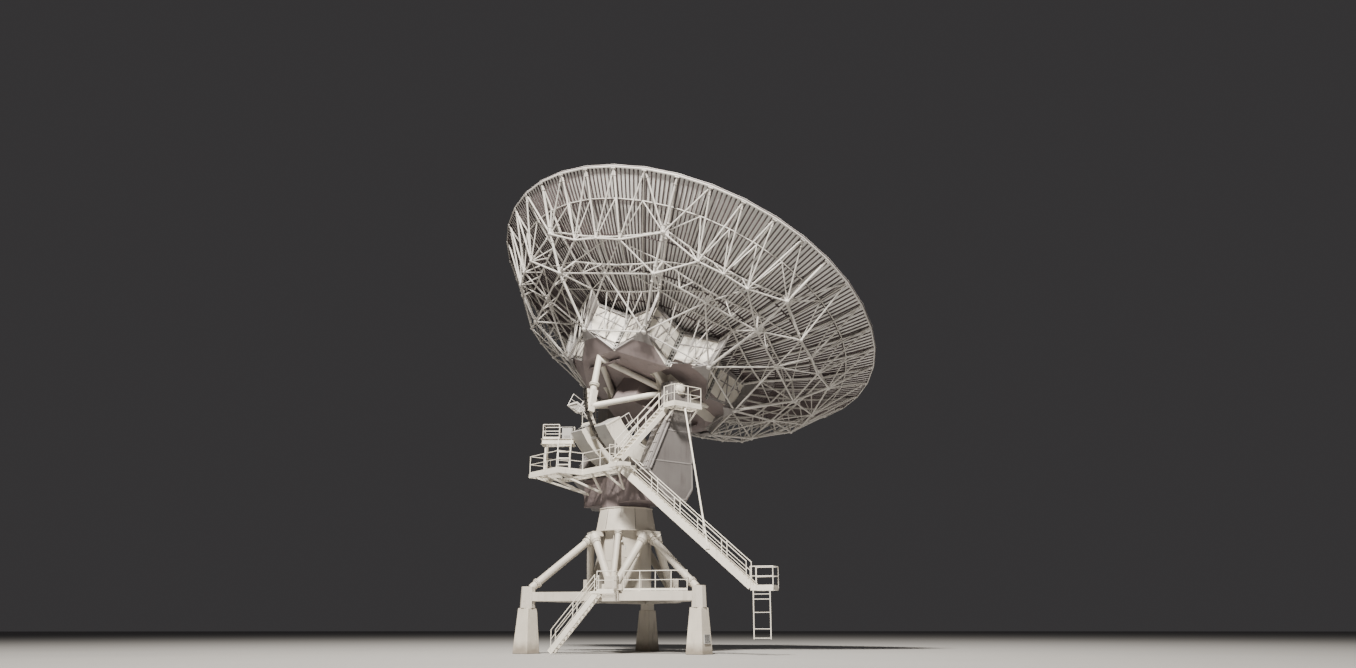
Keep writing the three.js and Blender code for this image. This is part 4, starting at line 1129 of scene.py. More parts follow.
def pier_vent():
    """The frame and slats of the panel, and the dark sheet behind them, painted shade for the opening."""
    out, side = polar(1, PIER_FACE), polar(1, PIER_FACE + 90)
    rise = unit(UP - out * PIER_SLOPE)
    proud = unit(out + UP * PIER_SLOPE)
    pier = polar(PIER_RADIUS, BASE_TURN + BASE_THIRD)
    spot = pier + out * (PIER_FOOT - PIER_SLOPE * VENT_Z) + UP * VENT_Z
    frame = []
    for sign in (-1, 1):
        upright = spot + side * sign * VENT_WIDTH / 2 + proud * 0.02
        level = spot + rise * sign * VENT_HEIGHT / 2 + proud * 0.02
        frame.append(boxes(upright, [0.04, 0.05, VENT_HEIGHT + 0.04], side, rise))
        frame.append(boxes(level, [VENT_WIDTH, 0.05, 0.04], side, rise))
    slats = spot + np.outer(np.linspace(-0.17, 0.17, 7), rise) + proud * 0.022
    frame.append(boxes(slats, [VENT_WIDTH - 0.03, 0.008, 0.055], side, unit(rise - proud * 0.9)))
    return frame, [boxes(spot + proud * 0.004, [VENT_WIDTH, 0.008, VENT_HEIGHT], side, rise)]


vent_frame, vent_opening_shade = pier_vent()
make_piece("pier_vent_louvres", on_mount(vent_frame), grey_paint, "base")
make_piece("pier_vent_opening_shade", on_mount(vent_opening_shade), shade_and_black, "base")

# %% [markdown]
# Handrails, stairs and gratings give the telescope its scale. Rails are round tube with a knee rail
# and a toe board, and stand on a line of points, so that one function serves every deck and stair.

# %% Handrails
RAIL_HEIGHT = 1.07
RAIL_TUBE = 0.024


def handrail(line, height=RAIL_HEIGHT, toe=True):
    """Posts at each point, a top rail, a knee rail and a toe board along a line of points."""
    p = np.asarray(line, float)
    rise = np.array([0, 0, height])
    parts = [tubes(p, p + rise, RAIL_TUBE, 10)]
    for share, radius in ((1.0, RAIL_TUBE), (0.55, RAIL_TUBE * 0.8)):
        parts.append(tubes(p[:-1] + rise * share, p[1:] + rise * share, radius, 10))
    parts += [joint_ball(q + rise, RAIL_TUBE * 1.08) for q in p]
    if toe:
        low = np.array([0, 0, 0.09])
        parts.append(beams(p[:-1] + low, p[1:] + low, 0.008, 0.11))
    return parts


print("rail height:", RAIL_HEIGHT)

# %% [markdown]
# Floors are steel grating in a frame of channels. The bars of the grating are real thin boxes, since
# light falls through them and they are seen from below, where a picture with holes would look flat.

# %% Gratings and channels
BAR_PITCH, BAR_DEPTH, BAR_THICK = 0.075, 0.035, 0.007
ROD_PITCH, ROD_SIZE = 0.2, 0.008


def grating(x0, x1, y0, y1, top):
    """Bearing bars across a rectangle and twisted rods along it, as thin upright boxes."""
    y = np.arange(y0 + BAR_PITCH / 2, y1, BAR_PITCH)
    middles = np.column_stack([np.full(len(y), (x0 + x1) / 2), y, np.full(len(y), top - BAR_DEPTH / 2)])
    x = np.arange(x0 + 0.1, x1, ROD_PITCH)
    rods = np.column_stack([x, np.full(len(x), (y0 + y1) / 2), np.full(len(x), top - 0.01)])
    return [boxes(middles, [x1 - x0, BAR_THICK, BAR_DEPTH]), boxes(rods, [ROD_SIZE, y1 - y0, ROD_SIZE])]


def channel(a, b, depth, width=0.07, web=0.012, side=1):
    """A steel channel from a to b: an upright web and two flanges to one side."""
    a, b = np.asarray(a, float), np.asarray(b, float)
    way = unit(b - a)
    out = unit(np.cross(way, UP)) * side
    up = np.cross(out, way) * side
    up = up if up[2] > 0 else -up
    parts = [beams(a, b, web, depth)]
    for sign in (-1, 1):
        shift = up * sign * (depth / 2 - web / 2) + out * width / 2
        parts.append(beams(a + shift, b + shift, width, web))
    return parts


def fascia(corners, depth, width=0.07, side=1):
    """Channels round a deck, from each corner to the next."""
    parts = []
    for a, b in zip(corners, np.roll(corners, -1, 0)):
        parts += channel(a, b, depth, width, side=side)
    return parts


def deck_frame(x0, x1, y0, y1, top, depth=0.22):
    """A grating floor in a frame of channels, with joists about a metre apart."""
    z = top - depth / 2
    parts = grating(x0 + 0.02, x1 - 0.02, y0 + 0.02, y1 - 0.02, top)
    parts += fascia([[x0, y0, z], [x1, y0, z], [x1, y1, z], [x0, y1, z]], depth, side=-1)
    for x in np.linspace(x0, x1, max(2, round((x1 - x0) / 0.9)) + 1)[1:-1]:
        parts += channel([x, y0, z - 0.02], [x, y1, z - 0.02], depth * 0.7, 0.05)
    return parts


print("grating bars every", BAR_PITCH, "m")

# %% [markdown]
# A stair is two channel stringers with grating treads between them and a handrail on each side. Its
# foot, its top, its width and the number of risers say everything, so no flight is modelled by hand.

# %% Stairs


def stair(foot, top, width, risers, depth=0.28, rail_end=0.97):
    """Two channel stringers, grating treads with a nosing, and a handrail on each side."""
    foot, top = np.asarray(foot, float), np.asarray(top, float)
    level = unit((top - foot) * [1, 1, 0])
    side = np.array([-level[1], level[0], 0]) * width / 2
    middle = share_of(foot, top, np.arange(1, risers)[:, None] / risers)
    posts = np.linspace(0.03, rail_end, max(3, round(np.linalg.norm(top - foot) / 1.9) + 1))[:, None]
    parts = []
    for sign in (-1, 1):
        low, high = foot + side * sign, top + side * sign
        parts += channel(low, high, depth, 0.075, 0.014, sign)
        parts += handrail(share_of(low, high, posts), toe=False)
        parts.append(boxes(middle + side * sign * 0.96, [0.25, 0.03, 0.05], level))
    for shift in np.linspace(-0.11, 0.11, 6):
        parts.append(boxes(middle + level * shift, [0.008, width - 0.03, 0.032], level))
    parts.append(boxes(middle - level * 0.125, [0.022, width - 0.02, 0.045], level))
    return parts


print("patches in a small stair:", len(stair((0, 0, 0), (1, 0, 1), 0.8, 5)))

# %% [markdown]
# The decks are then only lists of corners. The service deck wraps round the rear of the yoke in three
# gratings. It is set out in the azimuth axis's frame, so that it turns with the yoke it hangs on.

# %% Rear deck
DECK_TOP = 10.1
DECK_RECTANGLES = ((-2.69, 4.09, 1.33, 2.45), (-3.54, -2.4, 2.36, 3.05), (1.0, 4.09, 2.45, 4.14))
DECK_RAIL = ((-2.44, 3.01), (-2.44, 2.4), (-0.7, 2.4), (1.05, 2.4), (1.05, 3.3), (1.05, 4.1), (2.55, 4.1),
             (4.05, 4.1), (4.05, 2.7), (4.05, 1.38))
DECK_STRUTS = (((3.7, 3.9), (2.2, 1.12)), ((1.3, 3.9), (0.9, 1.12)), ((-2.2, 2.3), (-1.3, 1.12)),
               ((2.5, 3.9), (2.2, 1.12)), ((0.2, 2.35), (0.9, 1.12)), ((-0.9, 2.35), (-1.3, 1.12)))


def steelwork(node, parts, body):
    """One piece of rails, gratings and channels in place of a node, on the yoke or the base."""
    return make_piece(node + "_steelwork", on_mount(parts), white_paint, body, [node])


def rear_deck():
    """The service deck: three gratings round the yoke, rails on its outer edges, struts below."""
    parts = []
    for rectangle in DECK_RECTANGLES:
        parts += deck_frame(*rectangle, DECK_TOP)
    parts += handrail([(x, y, DECK_TOP - 0.02) for x, y in DECK_RAIL])
    ends = np.array([[(*high, 9.9), (*low, 8.95)] for high, low in DECK_STRUTS])
    parts.append(beams(ends[:, 0], ends[:, 1], 0.09, 0.11))
    parts.append(boxes(ends[:, 1], [0.3, 0.05, 0.34]))
    return parts


steelwork("rear_deck", rear_deck(), "yoke")

# %% [markdown]
# Beside each trunnion is a platform for its bearing, with a narrow gangway to the arm. The two are
# mirror images, made by one function that takes the side as a sign. The X values are sorted, so that
# no box is turned inside out.

# %% Bearing platforms
PLATFORM_TOP = 13.6
PLATFORM_RAIL = ((3.64, -1.86), (4.56, -1.86), (4.56, -0.9), (4.56, 0.11), (3.64, 0.11))


def bearing_platform(side):
    """The platform beside a trunnion: a grating in a channel frame, rails on three sides, brackets."""
    parts = deck_frame(*sorted([side * 3.615, side * 4.6]), -1.9, 0.15, PLATFORM_TOP, 0.18)
    parts += deck_frame(*sorted([side * 2.67, side * 3.6]), -0.43, -0.30, PLATFORM_TOP, 0.16)
    parts += handrail([(side * x, y, PLATFORM_TOP - 0.02) for x, y in PLATFORM_RAIL])
    for y in (-1.7, -0.05):
        parts.append(beams((side * 4.5, y, 13.44), (side * 3.62, y, 12.75), 0.06, 0.09))
    return parts


for side, name in ((-1, "left"), (1, "right")):
    steelwork(f"bearing_platform_{name}", bearing_platform(side), "yoke")

# %% [markdown]
# The long stair hangs beside the base and turns with the yoke, so it ends in a landing in the air. A
# thin ladder frame reaches down from the landing, and one rod holds it up from the yoke. A short
# stair on the arm goes on up to the bearings.

# %% Hanging stair and arm stair
FLIGHT_TURN, FLIGHT_RUN = 208.8, 7.463
FLIGHT_TOP, LANDING_Z = np.array([-2.535, 2.15, 9.9]), 3.39
ROD_LUG = np.array([-4.5, -0.7, 13.42])


def hanging_stair():
    """The long flight, its landing, the ladder frame under it and the rod that it hangs from."""
    heading, across = polar(1, FLIGHT_TURN), polar(0.47, FLIGHT_TURN - 90)
    foot = FLIGHT_TOP + heading * FLIGHT_RUN
    foot[2] = LANDING_Z
    near, far = foot + across, foot + across + heading * 1.2
    corners = np.array([near, far, far - 2 * across, near - 2 * across])
    parts = stair(foot, FLIGHT_TOP, 0.85, 30, 0.38, 0.92)
    parts += fascia(corners - UP * 0.12, 0.16, 0.06, -1)
    bars = share_of(near, far, np.linspace(0.04, 0.96, 16)[:, None]) - UP * 0.06
    parts.append(beams(bars, bars - 2 * across, 0.008, BAR_DEPTH))
    line = [near, share_of(near, far, 0.27), *corners[1:]]
    parts += handrail(np.array(line) - UP * 0.08)
    stiles = share_of(near, far, np.array([[0.12], [0.86]])) - UP * 0.12
    parts.append(tubes(stiles, stiles * [1, 1, 0] + UP * 0.8, 0.03, 12))
    for z in (0.85, 1.3, 2.1, 2.75, 3.0):
        parts.append(tubes(*(stiles * [1, 1, 0] + UP * z), 0.018, 10))
    hook = share_of(FLIGHT_TOP, foot, 0.69) + across + UP * 0.06
    parts.append(tubes(hook, ROD_LUG, 0.05, 16))
    parts.append(boxes([hook, ROD_LUG + UP * 0.02], [0.22, 0.05, 0.26], heading))
    return parts


steelwork("hanging_stair", hanging_stair(), "yoke")
steelwork("arm_stair", stair((-3.125, 2.95, 10.19), (-3.125, -0.33, 13.5), 0.76, 14, 0.26), "yoke")

# %% [markdown]
# A small platform stands over the end of the deck, turned a little to it, on three legs. Its corners
# are given along and into the platform, and one function turns them to the yoke's frame.

# %% Upper platform
UPPER_CORNER = np.array([3.02, 3.98, 0])
UPPER_ALONG, UPPER_IN = polar(1, 229.5), polar(1, 319.5)
UPPER_TOP, STEP_ENDS = 12.08, (0.97, 1.73)


def on_upper(along, inward, z):
    """A point from distances along and into the upper platform, and a height."""
    return UPPER_CORNER + UPPER_ALONG * along + UPPER_IN * inward + [0, 0, z]


def upper_platform():
    """Fascia channels, a grating, rails, three legs and four steps."""
    parts = fascia([on_upper(a, b, 11.95) for a, b in ((0, 0), (1.83, 0), (1.83, 1.0), (0, 1.0))], 0.30)
    for inward in np.arange(0.05, 0.98, 0.06):
        parts.append(beams(on_upper(0.02, inward, UPPER_TOP), on_upper(1.81, inward, UPPER_TOP),
                           BAR_THICK, BAR_DEPTH))
    line = [(1.0, 0.04), (0.04, 0.04), (0.04, 0.96), (0.9, 0.96), (1.79, 0.96)]
    parts += handrail([on_upper(a, b, UPPER_TOP) for a, b in line], 0.88)
    for a, b in ((0.2, 0.15), (1.65, 0.15), (0.2, 0.85)):
        parts.append(tubes(on_upper(a, b, DECK_TOP), on_upper(a, b, 11.85), 0.057, 16))
        parts.append(boxes(on_upper(a, b, DECK_TOP + 0.01), [0.22, 0.22, 0.02], UPPER_ALONG))
    for a in STEP_ENDS:
        parts.append(beams(on_upper(a, -0.65, 10.14), on_upper(a, 0.02, 12.03), 0.03, 0.15))
    for share in (0.2, 0.4, 0.6, 0.8):
        for shift in np.linspace(-0.08, 0.08, 4):
            low, high = (on_upper(a, 0.68 * share - 0.65 + shift, DECK_TOP + share * 2.0) for a in STEP_ENDS)
            parts.append(beams(low, high, 0.01, BAR_DEPTH))
    return parts


steelwork("upper_platform", upper_platform(), "yoke")

# %% [markdown]
# An equipment cabinet stands on that platform: a sheet-metal box whose door is a thin leaf on its
# face, with hinges, a louvre and a little roof. A leaf that stands proud gives a true seal line.

# %% Equipment cabinet


def cabinet():
    """A sheet-metal box with a door leaf, hinges, a louvre of slats and a roof that overhangs."""
    centre = on_upper(1.465, 0.35, 12.45)
    face = centre - UPPER_IN * 0.256
    slats = face - UPPER_IN * 0.012 + np.outer(np.linspace(-0.26, -0.14, 5), UP)
    hinges = face + UPPER_ALONG * 0.27 - UPPER_IN * 0.014 + np.outer((-0.22, 0.22), UP)
    return [boxes(centre, [0.63, 0.5, 0.72], UPPER_ALONG),
            boxes(face, [0.56, 0.016, 0.64], UPPER_ALONG),
            boxes(slats, [0.36, 0.012, 0.012], UPPER_ALONG),
            tubes(hinges - UP * 0.04, hinges + UP * 0.04, 0.012, 10),
            boxes(centre + UP * 0.37, [0.70, 0.58, 0.025], UPPER_ALONG)]


make_piece("equipment_cabinet", on_mount(cabinet()), grey_paint, "yoke", bevel=0.004)

# %% [markdown]
# The base has a stair from the ground beside its front beam, a landing at the top and a railing along
# the beam. The beam's direction gives the stair's, so that both lean with the triangle of the base.

# %% Ground stair, landing and base railing
STAIR_TURN = BASE_TURN + BASE_THIRD / 2
STAIR_OUT, STAIR_ALONG = polar(1, STAIR_TURN), polar(1, STAIR_TURN - 90)
LANDING = ((0.26, -0.4), (1.12, -0.4), (1.12, 0.9), (0.26, 0.9))
LANDING_RAIL = ((0.31, -0.355), (1.085, -0.355), (1.085, 0.56))


def beside_beam(out, along, z):
    """A point beside the front beam, from distances out of the base and along the beam."""
    return STAIR_OUT * (PIER_RADIUS / 2 + out) + STAIR_ALONG * along + [0, 0, z]


def ground_stair():
    """The flight, a grating landing in a frame of channels, and its rails."""
    parts = stair(beside_beam(0.705, 3.12, 0.095), beside_beam(0.705, 0.61, BEAM_TOP - 0.125), 0.76, 14)
    parts += fascia([beside_beam(out, along, BEAM_TOP - 0.06) for out, along in LANDING], 0.12, 0.05)
    for along in np.arange(-0.35, 0.88, 0.06):
        low, high = (beside_beam(out, along, BEAM_TOP - 0.02) for out in (0.28, 1.1))
        parts.append(beams(low, high, BAR_THICK, BAR_DEPTH))
    parts += handrail([beside_beam(out, along, BEAM_TOP - 0.03) for out, along in LANDING_RAIL])
    return parts


def base_railing():
    """A railing in three bays on a foot plate that lies on the front beam."""
    middle = polar(PIER_RADIUS / 2 + 0.17, STAIR_TURN, BEAM_TOP + 0.02)
    spots = middle - np.outer((0.7, 1.58, 2.45, 3.32, 4.2), STAIR_ALONG)
    return [beams(spots[0], spots[-1], 0.09, 0.02), *handrail(spots)]


steelwork("ground_stair", ground_stair(), "base")
steelwork("base_railing", base_railing(), "base")

# %% [markdown]
# The dish tips on two trunnions and is driven by a curved gear sector that hangs under it. The sector
# is a few bars of square section carried along an arc, with a tapered block for each tooth, since the
# teeth are seen from the side against the light.

# %% Gear sector
GEAR_RADIUS = 4.25
TEETH = 92
HALF_ARC = 63.0


def gear_point(radius, degrees, x=0.0):
    """A point of the sector from radius and angle from straight down, in the dish's frame."""
    a = np.radians(-90 + np.asarray(degrees, float))
    radius = np.asarray(radius)
    return np.stack(np.broadcast_arrays(x, radius * np.cos(a), radius * np.sin(a)), -1)


def arc_bar(inner, outer, x0, x1):
    """A bar of square section along the arc: four corners carried from end to end."""
    a = np.linspace(-HALF_ARC, HALF_ARC, 90)
    corners = ((inner, x0), (outer, x0), (outer, x1), (inner, x1))
    rings = np.stack([gear_point(r, a, x) for r, x in corners], 1)
    return lofts(rings[None][:, :, ::-1])


def gear_teeth():
    """Teeth as tapered blocks: wide at the root and narrow at the tip, evenly along the arc."""
    a = np.linspace(-HALF_ARC + 0.5, HALF_ARC - 0.5, TEETH)[:, None]
    width = np.degrees(0.032 / GEAR_RADIUS)
    sides = np.array([-1, 1, 1, -1])[None]
    xs = np.array([-0.095, -0.095, 0.095, 0.095])[None]
    root = gear_point(GEAR_RADIUS - 0.055, a + sides * width, xs)
    tip = gear_point(GEAR_RADIUS, a + sides * width * 0.5, xs)
    return lofts(np.stack([root, tip], 1))


gear_web = [arc_bar(3.98, 4.13, -0.02, 0.02), arc_bar(3.955, 3.985, -0.11, 0.11)]
stiffener_angles = np.linspace(-60, 60, 33)
radial = unit(gear_point(1.0, stiffener_angles))
for side in (-1, 1):
    middle = gear_point(4.05, stiffener_angles, side * 0.062)
    gear_web.append(boxes(middle, [0.16, 0.085, 0.012], radial, ACROSS))
make_piece("gear_web", on_dish(gear_web), white_paint, "dish", ["gear_sector"])
gear_rack = [arc_bar(4.12, GEAR_RADIUS - 0.05, -0.11, 0.11), gear_teeth()]
make_piece("gear_teeth", on_dish(gear_rack), gear_grease, "dish")

# %% [markdown]
# Big tubes tie the hub, both ends of the gear sector and the trunnions into one stiff frame. The tube
# from the hub to each end of the sector tapers, and each of the others has a split flange near the
# trunnion, where the frame was bolted up.

# %% Tipping frame
TRUNNION_X = 2.5


def tipping_frame(end):
    """The tapered tube from the hub to the sector's end, its flange, and tubes to both trunnions."""
    back = np.array([0, end * 3.8, 0.29])
    foot = gear_point(3.89, end * 48.0)
    way = unit(back - foot)
    parts = [tubes(foot, back + way * 0.5, 0.225, 32, 0.165)]
    for share in (0.42, 0.45):
        spot = share_of(foot, back, share)
        parts.append(tubes(spot, spot + way * 0.045, 0.30, 28))
    parts.append(bolt_ring(share_of(foot, back, 0.45) + way * 0.045, way, 0.26, 14))
    parts.append(beams(foot - way * 0.35, foot + way * 1.0, 0.38, 0.44, ACROSS))
    for side in (-1, 1):
        trunnion = np.array([side * TRUNNION_X, 0, 0])
        for start in (back, foot):
            spot = share_of(start, trunnion, 0.88)
            out = unit(trunnion - start)
            parts.append(tubes(start, trunnion, 0.172, 28))
            parts.append(tubes(spot, spot + out * 0.05, 0.23, 24))
            parts.append(tubes(spot + out * 0.06, spot + out * 0.11, 0.23, 24))
    return parts


for end, name in ((-1, "front"), (1, "rear")):
    make_piece(f"tipping_tubes_{name}", on_dish(tipping_frame(end)), white_paint, "dish",
               [f"tipping_frame_{name}"], bevel=0.008)

# %% [markdown]
# Each trunnion is a stepped shaft under the side of the hub, held in a plated foot. The shaft is a
# profile turned about Z and laid along X, which keeps its shoulders true circles.

# %% Trunnions
SHAFT = [[0.23, 2.2], [0.23, 2.5], [0.34, 2.5], [0.34, 2.645], [0.235, 2.645], [0.235, 3.72]]


def trunnion(side):
    """The shaft, its stepped collar, the plated foot under the hub and two raking tubes."""
    parts = [moved(capped(SHAFT, 48), looking((side, 0, 0))),
             boxes((side * 2.425, 0, 0.34), [0.35, 0.84, 1.38]),
             boxes((side * 2.425, 0, -0.36), [0.40, 0.95, 0.04])]
    for end in (-1, 1):
        parts.append(tubes((side * TRUNNION_X, 0, 0), (side * TRUNNION_X, end * 2.9, 1.04), 0.145, 28))
        parts.append(beams((side * 2.42, end * 0.35, -0.2), (side * 2.42, end * 1.5, 0.95), 0.03, 0.5))
    return parts


for side, name in ((-1, "left"), (1, "right")):
    make_piece(f"trunnion_{name}_casting", on_dish(trunnion(side)), white_paint, "dish",
               [f"trunnion_{name}"], bevel=0.008)

# %% [markdown]
# In front of the bowl four box legs carry the sub-reflector. They are hidden in the photograph, so
# they are the usual form for a dish of this size: slender, banded, and bolted to the bowl by a shoe.

# %% Quadrupod legs
APEX_Z = VERTEX + 8.3
SHOE_RADIUS, HEAD_RADIUS = 6.3, 1.5
BAND_SPACING = 0.9


def quadrupod_leg(k):
    """A slender box leg with lips along its edges, cross bands and a bolted shoe on the panels."""
    angle = 45 + 90 * k
    base = polar(SHOE_RADIUS, angle, bowl(SHOE_RADIUS))
    foot = base + [0, 0, 0.05]
    head = share_of(foot, polar(HEAD_RADIUS, angle, APEX_Z), 0.998)
    way, across = unit(head - foot), polar(1, angle + 90)
    parts = [beams(foot, head, 0.11, 0.24)]
    for sign in (-1, 1):
        shift = across * sign * 0.06
        parts.append(beams(foot + shift, head + shift, 0.014, 0.262))
    for run in np.arange(BAND_SPACING, np.linalg.norm(head - foot) - 0.4, BAND_SPACING):
        parts.append(beams(foot + way * (run - 0.02), foot + way * (run + 0.02), 0.15, 0.27))
    parts.append(tubes(base, base + [0, 0, 0.03], 0.32, 32))
    parts.append(bolt_ring(base + [0, 0, 0.03], UP, 0.27, 12, 0.018, 0.03))
    cheeks = base + UP * 0.12 + np.outer((-0.12, 0.12), across)
    parts.append(boxes(cheeks, [0.4, 0.02, 0.2], np.cross(across, way)))
    return parts


for k in range(4):
    make_piece(f"quadrupod_leg_{k + 1}_box", on_dish(quadrupod_leg(k)), tube_paint, "dish",
               [f"quadrupod_leg_{k + 1}"], bevel=0.004)

# %% [markdown]
# The legs end at a ring round the sub-reflector, whose face is a shallow bulge of revolution. Both are
# profiles turned about the dish's axis, and the face's curve is a power of the radius.

# %% Apex ring and sub-reflector
RING_INNER, RING_OUTER = 1.385, HEAD_RADIUS
FACE_RADIUS, FACE_RISE = 1.36, 0.42
SHELL_BACK = [(1.375, -0.12), (1.375, -0.08), (1.32, -0.04), (1.30, 0.12), (0.9, 0.2), (0.02, 0.2)]


def ring_section(inner, outer, low, high):
    """A ring of square section round the dish's axis, from heights below and above the apex."""
    return turned([[inner, APEX_Z + low], [outer, APEX_Z + low], [outer, APEX_Z + high],
                   [inner, APEX_Z + high]], 96)


drum = [ring_section(RING_INNER, RING_OUTER, -0.25, 0.35)]
drum += [ring_section(RING_INNER - 0.005, RING_OUTER, z - 0.015, z + 0.015) for z in (-0.2, 0.3)]
make_piece("apex_drum", on_dish(drum), tube_paint, "dish", ["apex_ring"], bevel=0.004)
radii = np.linspace(0.02, FACE_RADIUS, 22)
face = np.column_stack([radii, APEX_Z - 0.56 + FACE_RISE * (radii / FACE_RADIUS) ** 1.9])
shell = [capped(np.vstack([face, np.array(SHELL_BACK) + [0, APEX_Z]]), 96)]
make_piece("sub_reflector_shell", on_dish(shell), panel_face, "dish", ["sub_reflector"])

# %% [markdown]
# The feed cone stands at the vertex, a plated cone with two stiffening rings. Its horns stand in a
# circle on top, each for its own band of wavelengths, so they have different sizes.

# %% Feed cone
CONE = [(1.25, -0.05), (1.25, 0.05), (1.23, 0.06), (1.145, 1.15), (1.16, 1.16), (1.16, 1.19),
        (1.14, 1.2), (1.055, 2.2), (1.08, 2.21), (1.08, 2.25), (1.02, 2.26)]
HORN_SIZES = (0.34, 0.20, 0.13, 0.10, 0.26, 0.16, 0.11)


def horn(size):
    """A short open flare: a thin wall that widens upwards from a narrow throat."""
    return turned([[size * 0.55, -0.02], [size * 0.62, -0.02], [size, 0.06], [size - 0.02, 0.06],
                   [size * 0.55, 0.0]], 40)


cone = [capped(np.array(CONE) + [0, VERTEX], 72)]
for k, size in enumerate(HORN_SIZES):
    cone.append(moved(horn(size), None, polar(0.62, 360 / len(HORN_SIZES) * k, VERTEX + 2.24)))
make_piece("feed_cone_shell", on_dish(cone), white_paint, "dish", ["feed_cone"])

# %% [markdown]
# The elevation drive sits low on the yoke under the gear: a ribbed gearbox, a motor on its side with
# cooling fins, and a pinion with cut teeth between two cheeks. The pinion is a star-shaped ring given
# depth, because teeth as few and large as these would look flat as a pattern.

# %% Elevation drive
PINION_PLACE = np.array([0, 0.675, 10.519])
PINION_TEETH = 16
CHEEK = ((0.52, 10.1), (0.83, 10.1), (0.76, 10.5), (0.59, 10.5))


def toothed_wheel(root, tip, half_width):
    """A pinion about X: the radius steps from root to tip and back once for every tooth."""
    t = np.arange(PINION_TEETH * 4) * 2 * np.pi / (PINION_TEETH * 4)
    r = np.tile([root, tip, tip, root], PINION_TEETH)
    ring = np.column_stack([np.zeros(len(t)), r * np.cos(t), r * np.sin(t)])
    rings = np.stack([ring + [half_width, 0, 0], ring - [half_width, 0, 0]])[None]
    return lofts(rings[:, ::-1])


def gearbox():
    """The housing with its lid flange, foot and ribs, a finned motor, and cheeks for the pinion."""
    parts = [block(-0.55, 0.42, 0.33, 1.02, 9.87, 10.10), block(-0.59, 0.46, 0.285, 1.065, 10.085, 10.115),
             block(-0.59, 0.59, 0.285, 1.065, 9.86, 9.885)]
    for x in np.linspace(-0.48, 0.35, 5):
        parts.append(block(x - 0.012, x + 0.012, 0.29, 1.06, 9.88, 10.09))
    motor = np.array([0, 0.86, 10.0])
    parts.append(tubes(motor + [0.42, 0, 0], motor + [0.585, 0, 0], 0.105, 28))
    fins = motor + np.outer(np.linspace(0.44, 0.57, 5), ACROSS)
    parts.append(tubes(fins, fins + ACROSS * 0.008, 0.125, 28))
    for side in (-1, 1):
        parts.append(thin_plate([(side * 0.075, y, z) for y, z in CHEEK], 0.026))
    for x in (-0.56, 0.43):
        parts.append(bolt_ring((x, 0.675, 10.113), UP, 0.0, 1))
    return parts


make_piece("elevation_gearbox", on_mount(gearbox()), grey_paint, "yoke", ["elevation_drive"],
           bevel=0.005)
pinion = [moved(toothed_wheel(0.225, 0.275, 0.055), None, PINION_PLACE),
          tubes(PINION_PLACE - [0.088, 0, 0], PINION_PLACE + [0.088, 0, 0], 0.07, 28)]
make_piece("elevation_pinion", on_mount(pinion), gear_grease, "yoke")

# %% [markdown]
# The floor between the three base beams is steel grating on joists. Each bar is cut where it meets
# the beams. The cuts are worked out from the three sides of the triangle, which is quicker and leaves
# cleaner ends than cutting a whole sheet of bars with a boolean.

# %% Base deck
DECK_CORNER = 4.88
LEVEL = 1e-6
DECK_BARS = ((BASE_TURN + 30, 0.075, 0.007, 0.035, 3.13), (BASE_TURN + 120, 0.3, 0.009, 0.009, 3.126),
             (BASE_TURN + 120, 1.1, 0.06, 0.04, 3.094))


def deck_chords(heading, spacing):
    """Parallel lines across a triangle: each is cut to the span that lies inside all three sides."""
    normals = polar(1, BASE_TURN + 60 + 120 * np.arange(3))[:, :2]
    way, step = polar(1, heading)[:2], polar(1, heading + 90)[:2]
    offsets = np.arange(-DECK_CORNER, DECK_CORNER, spacing)[:, None]
    reach, slope = DECK_CORNER / 2 - (offsets * step) @ normals.T, way @ normals.T
    limits = reach / np.where(np.abs(slope) < LEVEL, LEVEL, slope)
    far = np.where(slope > LEVEL, limits, 1e3).min(1)
    near = np.where(slope < -LEVEL, limits, -1e3).max(1)
    inside = np.where(np.abs(slope) < LEVEL, reach, 1.0).min(1) > 0
    keep = (far - near > 0.1) & inside
    base = (offsets * step)[keep]
    return base + near[keep, None] * way, base + far[keep, None] * way


def base_deck():
    """Bearing bars, cross rods and joists, all cut to the triangle."""
    parts = []
    for heading, spacing, width, depth, top in DECK_BARS:
        a, b = deck_chords(heading, spacing)
        lift = np.full((len(a), 1), top - depth / 2)
        parts.append(beams(np.hstack([a, lift]), np.hstack([b, lift]), width, depth))
    return parts


make_piece("base_grating", on_mount(base_deck()), galvanised, "base", ["base_deck"])

# %% [markdown]
# The housing is made of twelve flat plates. Cover strips hide the joints between them, a dark line
# shows where some were joined on site, and a bolted flange closes its foot. The strips are thin boxes
# that lean with the plates, because a painted line would give no edge for the light to catch.

# %% Strips and flanges of the azimuth housing
HOUSING_TURN, HOUSING_SIDES = 70.7, 12
FOOT_FLANGE = [[1.60, 6.66], [1.82, 6.66], [1.82, 6.70], [1.60, 6.70]]
HEAD_FLANGE = [[1.45, 7.94], [1.58, 7.94], [1.58, 7.985], [1.45, 7.985]]


def cone_strip(degrees, low, high, width, thick):
    """A flat strip that runs up a tapered wall between two rings given as radius and height."""
    a, b = polar(low[0], degrees, low[1]), polar(high[0], degrees, high[1])
    return beams(a, b, width, thick, polar(1, degrees))


def housing_trim():
    """Cover strips at the corners of the housing, flanges at its foot and head, and their bolts."""
    corner = math.radians(HOUSING_TURN)
    parts = [turned(flange, HOUSING_SIDES, corner) for flange in (FOOT_FLANGE, HEAD_FLANGE)]
    for degrees in HOUSING_TURN + 30 * np.arange(HOUSING_SIDES):
        parts.append(cone_strip(degrees, (1.745, 6.72), (1.525, 7.93), 0.05, 0.02))
        bolts = polar(1.70, degrees + 15 + np.linspace(-11, 11, 5), 6.70)
        parts.append(bolt_heads(bolts, UP, 0.03, 0.018))
    return parts


